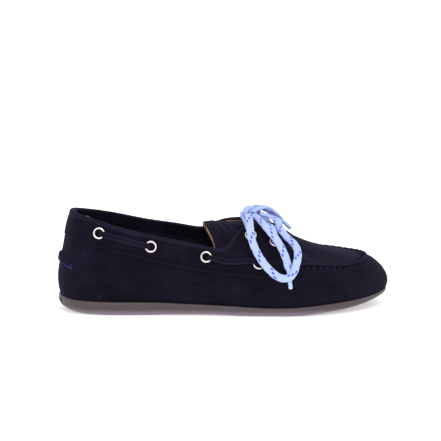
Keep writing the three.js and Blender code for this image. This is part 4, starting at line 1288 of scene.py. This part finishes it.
def seam(name, rows, spacing, length, thickness, finish, seed):
    """Stitches along rows of places. A row is its u, v and lift, all the same length."""
    positions, outs, alongs = [], [], []
    for u, v, lift in rows:
        u, v, lift = np.broadcast_arrays(np.asarray(u, float), v, lift)
        line, facing = spaced(skin(u, v, lift), spacing, normal(u, v))
        middles = (line[1:] + line[:-1]) / 2
        positions.append(middles)
        alongs.append(unit(np.diff(line, axis=0)))
        outs.append(unit(facing[1:] + facing[:-1]))
    base = place_points(name, *(np.concatenate(part) for part in (positions, outs, alongs)))
    return grown(base, stitch_tree, name, "suede", (), Length=length * 0.001, Thickness=thickness * 0.001,
                 Unevenness=0.12, Seed=seed, Finish=finish)


print("stitch tree is ready")

# %% [markdown]
# ## Rows of thread
# Each row keeps its own distance to the edge it holds. The band's rows are fine and dark. The
# counter's front seam is sewn in a lighter royal navy, and the apron's thick hand stitches lie
# across the groove, one in each pucker.

# %% Fine rows
around_heel = np.linspace(-WING_END + 0.18, WING_END - 0.18, 900)
band_low = 1 + 2.3 / upper_wall(around_heel)
front_v = np.linspace(1.08, 1.9, 60)
throat_u = np.linspace(WING_END + 0.1, 2 * TOE - WING_END - 0.1, 200)
fine_rows = [
    (around_heel, band_low, BAND_STEP - 0.12),
    (WING_END - 2.0 / BAND_RUN, front_v, BAND_STEP - 0.15),
    (2 * TOE - WING_END + 2.0 / BAND_RUN, front_v, BAND_STEP - 0.15),
    (throat_u, 2 - 2.6 / upper_wall(throat_u), -0.05),
]
seam("fine_stitches", fine_rows, 3.1, 2.3, 0.62, NAVY_THREAD, 3)

# %% Counter and heel tab rows
counter_v = np.linspace(0.03, 0.94, 76)
counter_row = counter_edge(counter_v) - EDGE_ROW / COUNTER_RUN
tab_u = np.linspace(-TAB_REACH * 0.9, TAB_REACH * 0.9, 80)
tab_low, tab_high = tab_heights(tab_u)
tab_face = COUNTER_STEP + 0.1 + TAB_THICKNESS - 0.12
royal_rows = [(side_sign * counter_row, counter_v, COUNTER_STEP - 0.05) for side_sign in (1, -1)]
seam("counter_stitches", royal_rows, 3.0, 2.1, 0.62, COUNTER_THREAD, 5)
tab_rows = [(tab_u, tab_low + 0.19 * (tab_high - tab_low), tab_face),
            (tab_u, tab_high - 0.19 * (tab_high - tab_low), tab_face)]
seam("tab_stitches", tab_rows, 2.6, 1.9, 0.6, NAVY_THREAD, 7)
for_tab = [(tab_u, tab_low - 0.006, COUNTER_STEP + 0.45)]
for side_sign in (1, -1):
    leg = np.linspace(0, 1, 12)
    for_tab.append((side_sign * (TAB_REACH * 0.88 + 0.14 * leg), 0.535 - 0.02 * leg, COUNTER_STEP + 0.4))
    for_tab.append((side_sign * (TAB_REACH * 1.0 + 0.02 * leg), 0.52 + 0.07 * leg, COUNTER_STEP + 0.4))
seam("tab_royal_stitches", for_tab, 1.9, 2.2, 0.85, ROYAL_THREAD, 9)

# %% Hand stitches of the apron
seam_u = np.linspace(WING_END + 0.15, 2 * TOE - WING_END - 0.15, 1500)
crossing = (seam_u, 1 - 2.1 / lower_wall(seam_u), -0.3)
seam("apron_stitches", [crossing], PUCKER, 3.4, 0.95, SEAM_THREAD, 11)

# %% [markdown]
# ## The rope through the throat
# Two bars of the rope cross the tongue. Each comes up through an eyelet, bends over the wing's
# edge, crosses, and goes down through the eyelet on the other side. In a bore it is squeezed
# narrower. The points follow the solid bars, and only the dives through the eyelets are added.

# %% Rope bars
LACE_GAP = 1.0


def ridge_height(x):
    rows = np.array(TONGUE_BACK)
    return np.interp(x / LENGTH, rows[:, 2], rows[:, 3]) * INSTEP_HEIGHT


def climb_over(seat):
    u, v = seat
    heights = [(v, -7.0), (v, -3.0), (v, 1.6), (v, 4.2), ((v + 2) / 2, 4.0), (2.0, 3.3)]
    return [skin(np.array(u), place, lift) for place, lift in heights]


for number, name in ((1, "lace_bar_rear"), (2, "lace_bar_front")):
    up, down = climb_over(SEATS[f"throat_outer_{number}"]), climb_over(SEATS[f"throat_inner_{number}"])
    crest = (up[-1] + down[-1]) / 2
    crest[2] = ridge_height(up[-1][0]) + LACE_GAP + ROPE_THICKNESS / 2
    line = spaced(through(np.array([*up, crest, *down[::-1]]), 20), 0.7)
    slope = np.array([1, 0, ridge_height(crest[0] + 1) - ridge_height(crest[0])])
    tangent = unit(np.gradient(line, axis=0))
    facing = unit(np.cross(slope, tangent))
    facing = facing * np.sign(facing[len(line) // 2, 2])
    near_bore = np.minimum(lengths_along(line), lengths_along(line)[::-1])
    width = ROPE_WIDTH - 1.7 * (1 - smooth(near_bore, 8, 13))
    tube(f"rope_{name[5:]}", line, facing, width, ROPE_THICKNESS, ROPE, [name])

# %% [markdown]
# ## The knot
# The bow is held by a turn of the rope round both loops, pulled tight, over a first crossing of the
# two strands. Each turn is a short closed stretch of the same rope.

# %% Knot
KNOT_CENTRE = np.array([150.5, -1.0, 75.3])


def knot_turn(name, reach, tilt, spin, centre, width, thickness, nodes=()):
    """A flattened ring of rope round the knot's middle."""
    t = np.linspace(0, 2 * math.pi, 90)
    flat = np.stack([np.cos(t) * reach[0], np.sin(t) * reach[1], 0 * t], 1)
    turn = np.array(Matrix.Rotation(spin, 3, "Z") @ Matrix.Rotation(tilt, 3, "Y"))
    line = flat @ turn.T + KNOT_CENTRE + centre
    facing = unit(line - KNOT_CENTRE - centre)
    tangent = unit(np.gradient(line, axis=0))
    facing = unit(facing - (facing * tangent).sum(1, keepdims=True) * tangent)
    return tube(name, line, facing, width, thickness, ROPE, nodes, sides=18, squareness=0.85)


WRAP_PLACE, UNDER_PLACE = np.array([-1.0, -0.8, -0.4]), np.array([0.6, 0.6, -1.2])
knot_turn("knot_wrap", (3.4, 4.4), math.radians(90), math.radians(125), WRAP_PLACE, 5.6, 2.8, KNOT_NODE)
knot_turn("knot_under", (1.7, 2.4), math.radians(90), math.radians(98), UNDER_PLACE, 7.5, 3.4)

# %% [markdown]
# ## Floor and light
# A pale floor that runs far back, a pale sky all round, and three large soft lamps: one above and
# in front, one from the toe side to model the forms, and a low one that opens the near side. The
# floor also glows a little, painted light that lifts the shadows on it and lights the sole from below.

# %% Floor
floor_mesh = bpy.data.meshes.new("floor")
reach = 6.0
corners = [(-reach, -reach, 0), (reach, -reach, 0), (reach, reach, 0), (-reach, reach, 0)]
floor_mesh.from_pydata(corners, [], [(0, 1, 2, 3)])
# painted light: the floor glows, which lifts its shadows and lights the sole from below
glowing_floor_finish = Finish("pale_glowing_floor", Roughness=0.9, Specular_IOR_Level=0.1, Emission_Strength=0.35)
glowing_floor_finish.shader.inputs["Emission Color"].default_value = (1, 1, 1, 1)
paper = glowing_floor_finish.noise(8, 2)
glowing_floor_finish.colour(glowing_floor_finish.mix(paper, (0.93, 0.93, 0.93, 1), (0.96, 0.96, 0.96, 1)))
floor_mesh.materials.append(glowing_floor_finish.material)
floor = bpy.data.objects.new("floor", floor_mesh)
bpy.context.scene.collection.objects.link(floor)
print("floor", 2 * reach, "m wide")

# %% Lamps
def lamp(name, place, aim_at, size, power, tint=(1, 1, 1)):
    data = bpy.data.lights.new(name, "AREA")
    data.shape, data.size, data.energy, data.color = "DISK", size, power, tint
    thing = bpy.data.objects.new(name, data)
    turn = (Vector(aim_at) - Vector(place)).to_track_quat("-Z", "Y").to_matrix().to_4x4()
    thing.matrix_world = Matrix.Translation(place) @ turn
    bpy.context.scene.collection.objects.link(thing)


lamp("over", (0.1, -0.5, 1.3), (0, 0, 0.03), 1.1, 5)
lamp("toe_side", (1.2, -0.9, 0.7), (0, 0, 0.04), 0.8, 2)
lamp("near_side", (-0.5, -1.5, 0.5), (0, 0, 0.04), 1.0, 5)
world = bpy.data.worlds.new("pale_sky")
world.use_nodes = True
world.node_tree.nodes["Background"].inputs[0].default_value = (1.0, 1.0, 1.0, 1.0)
world.node_tree.nodes["Background"].inputs[1].default_value = 0.96
bpy.context.scene.world = world
print("three lamps and a pale sky")
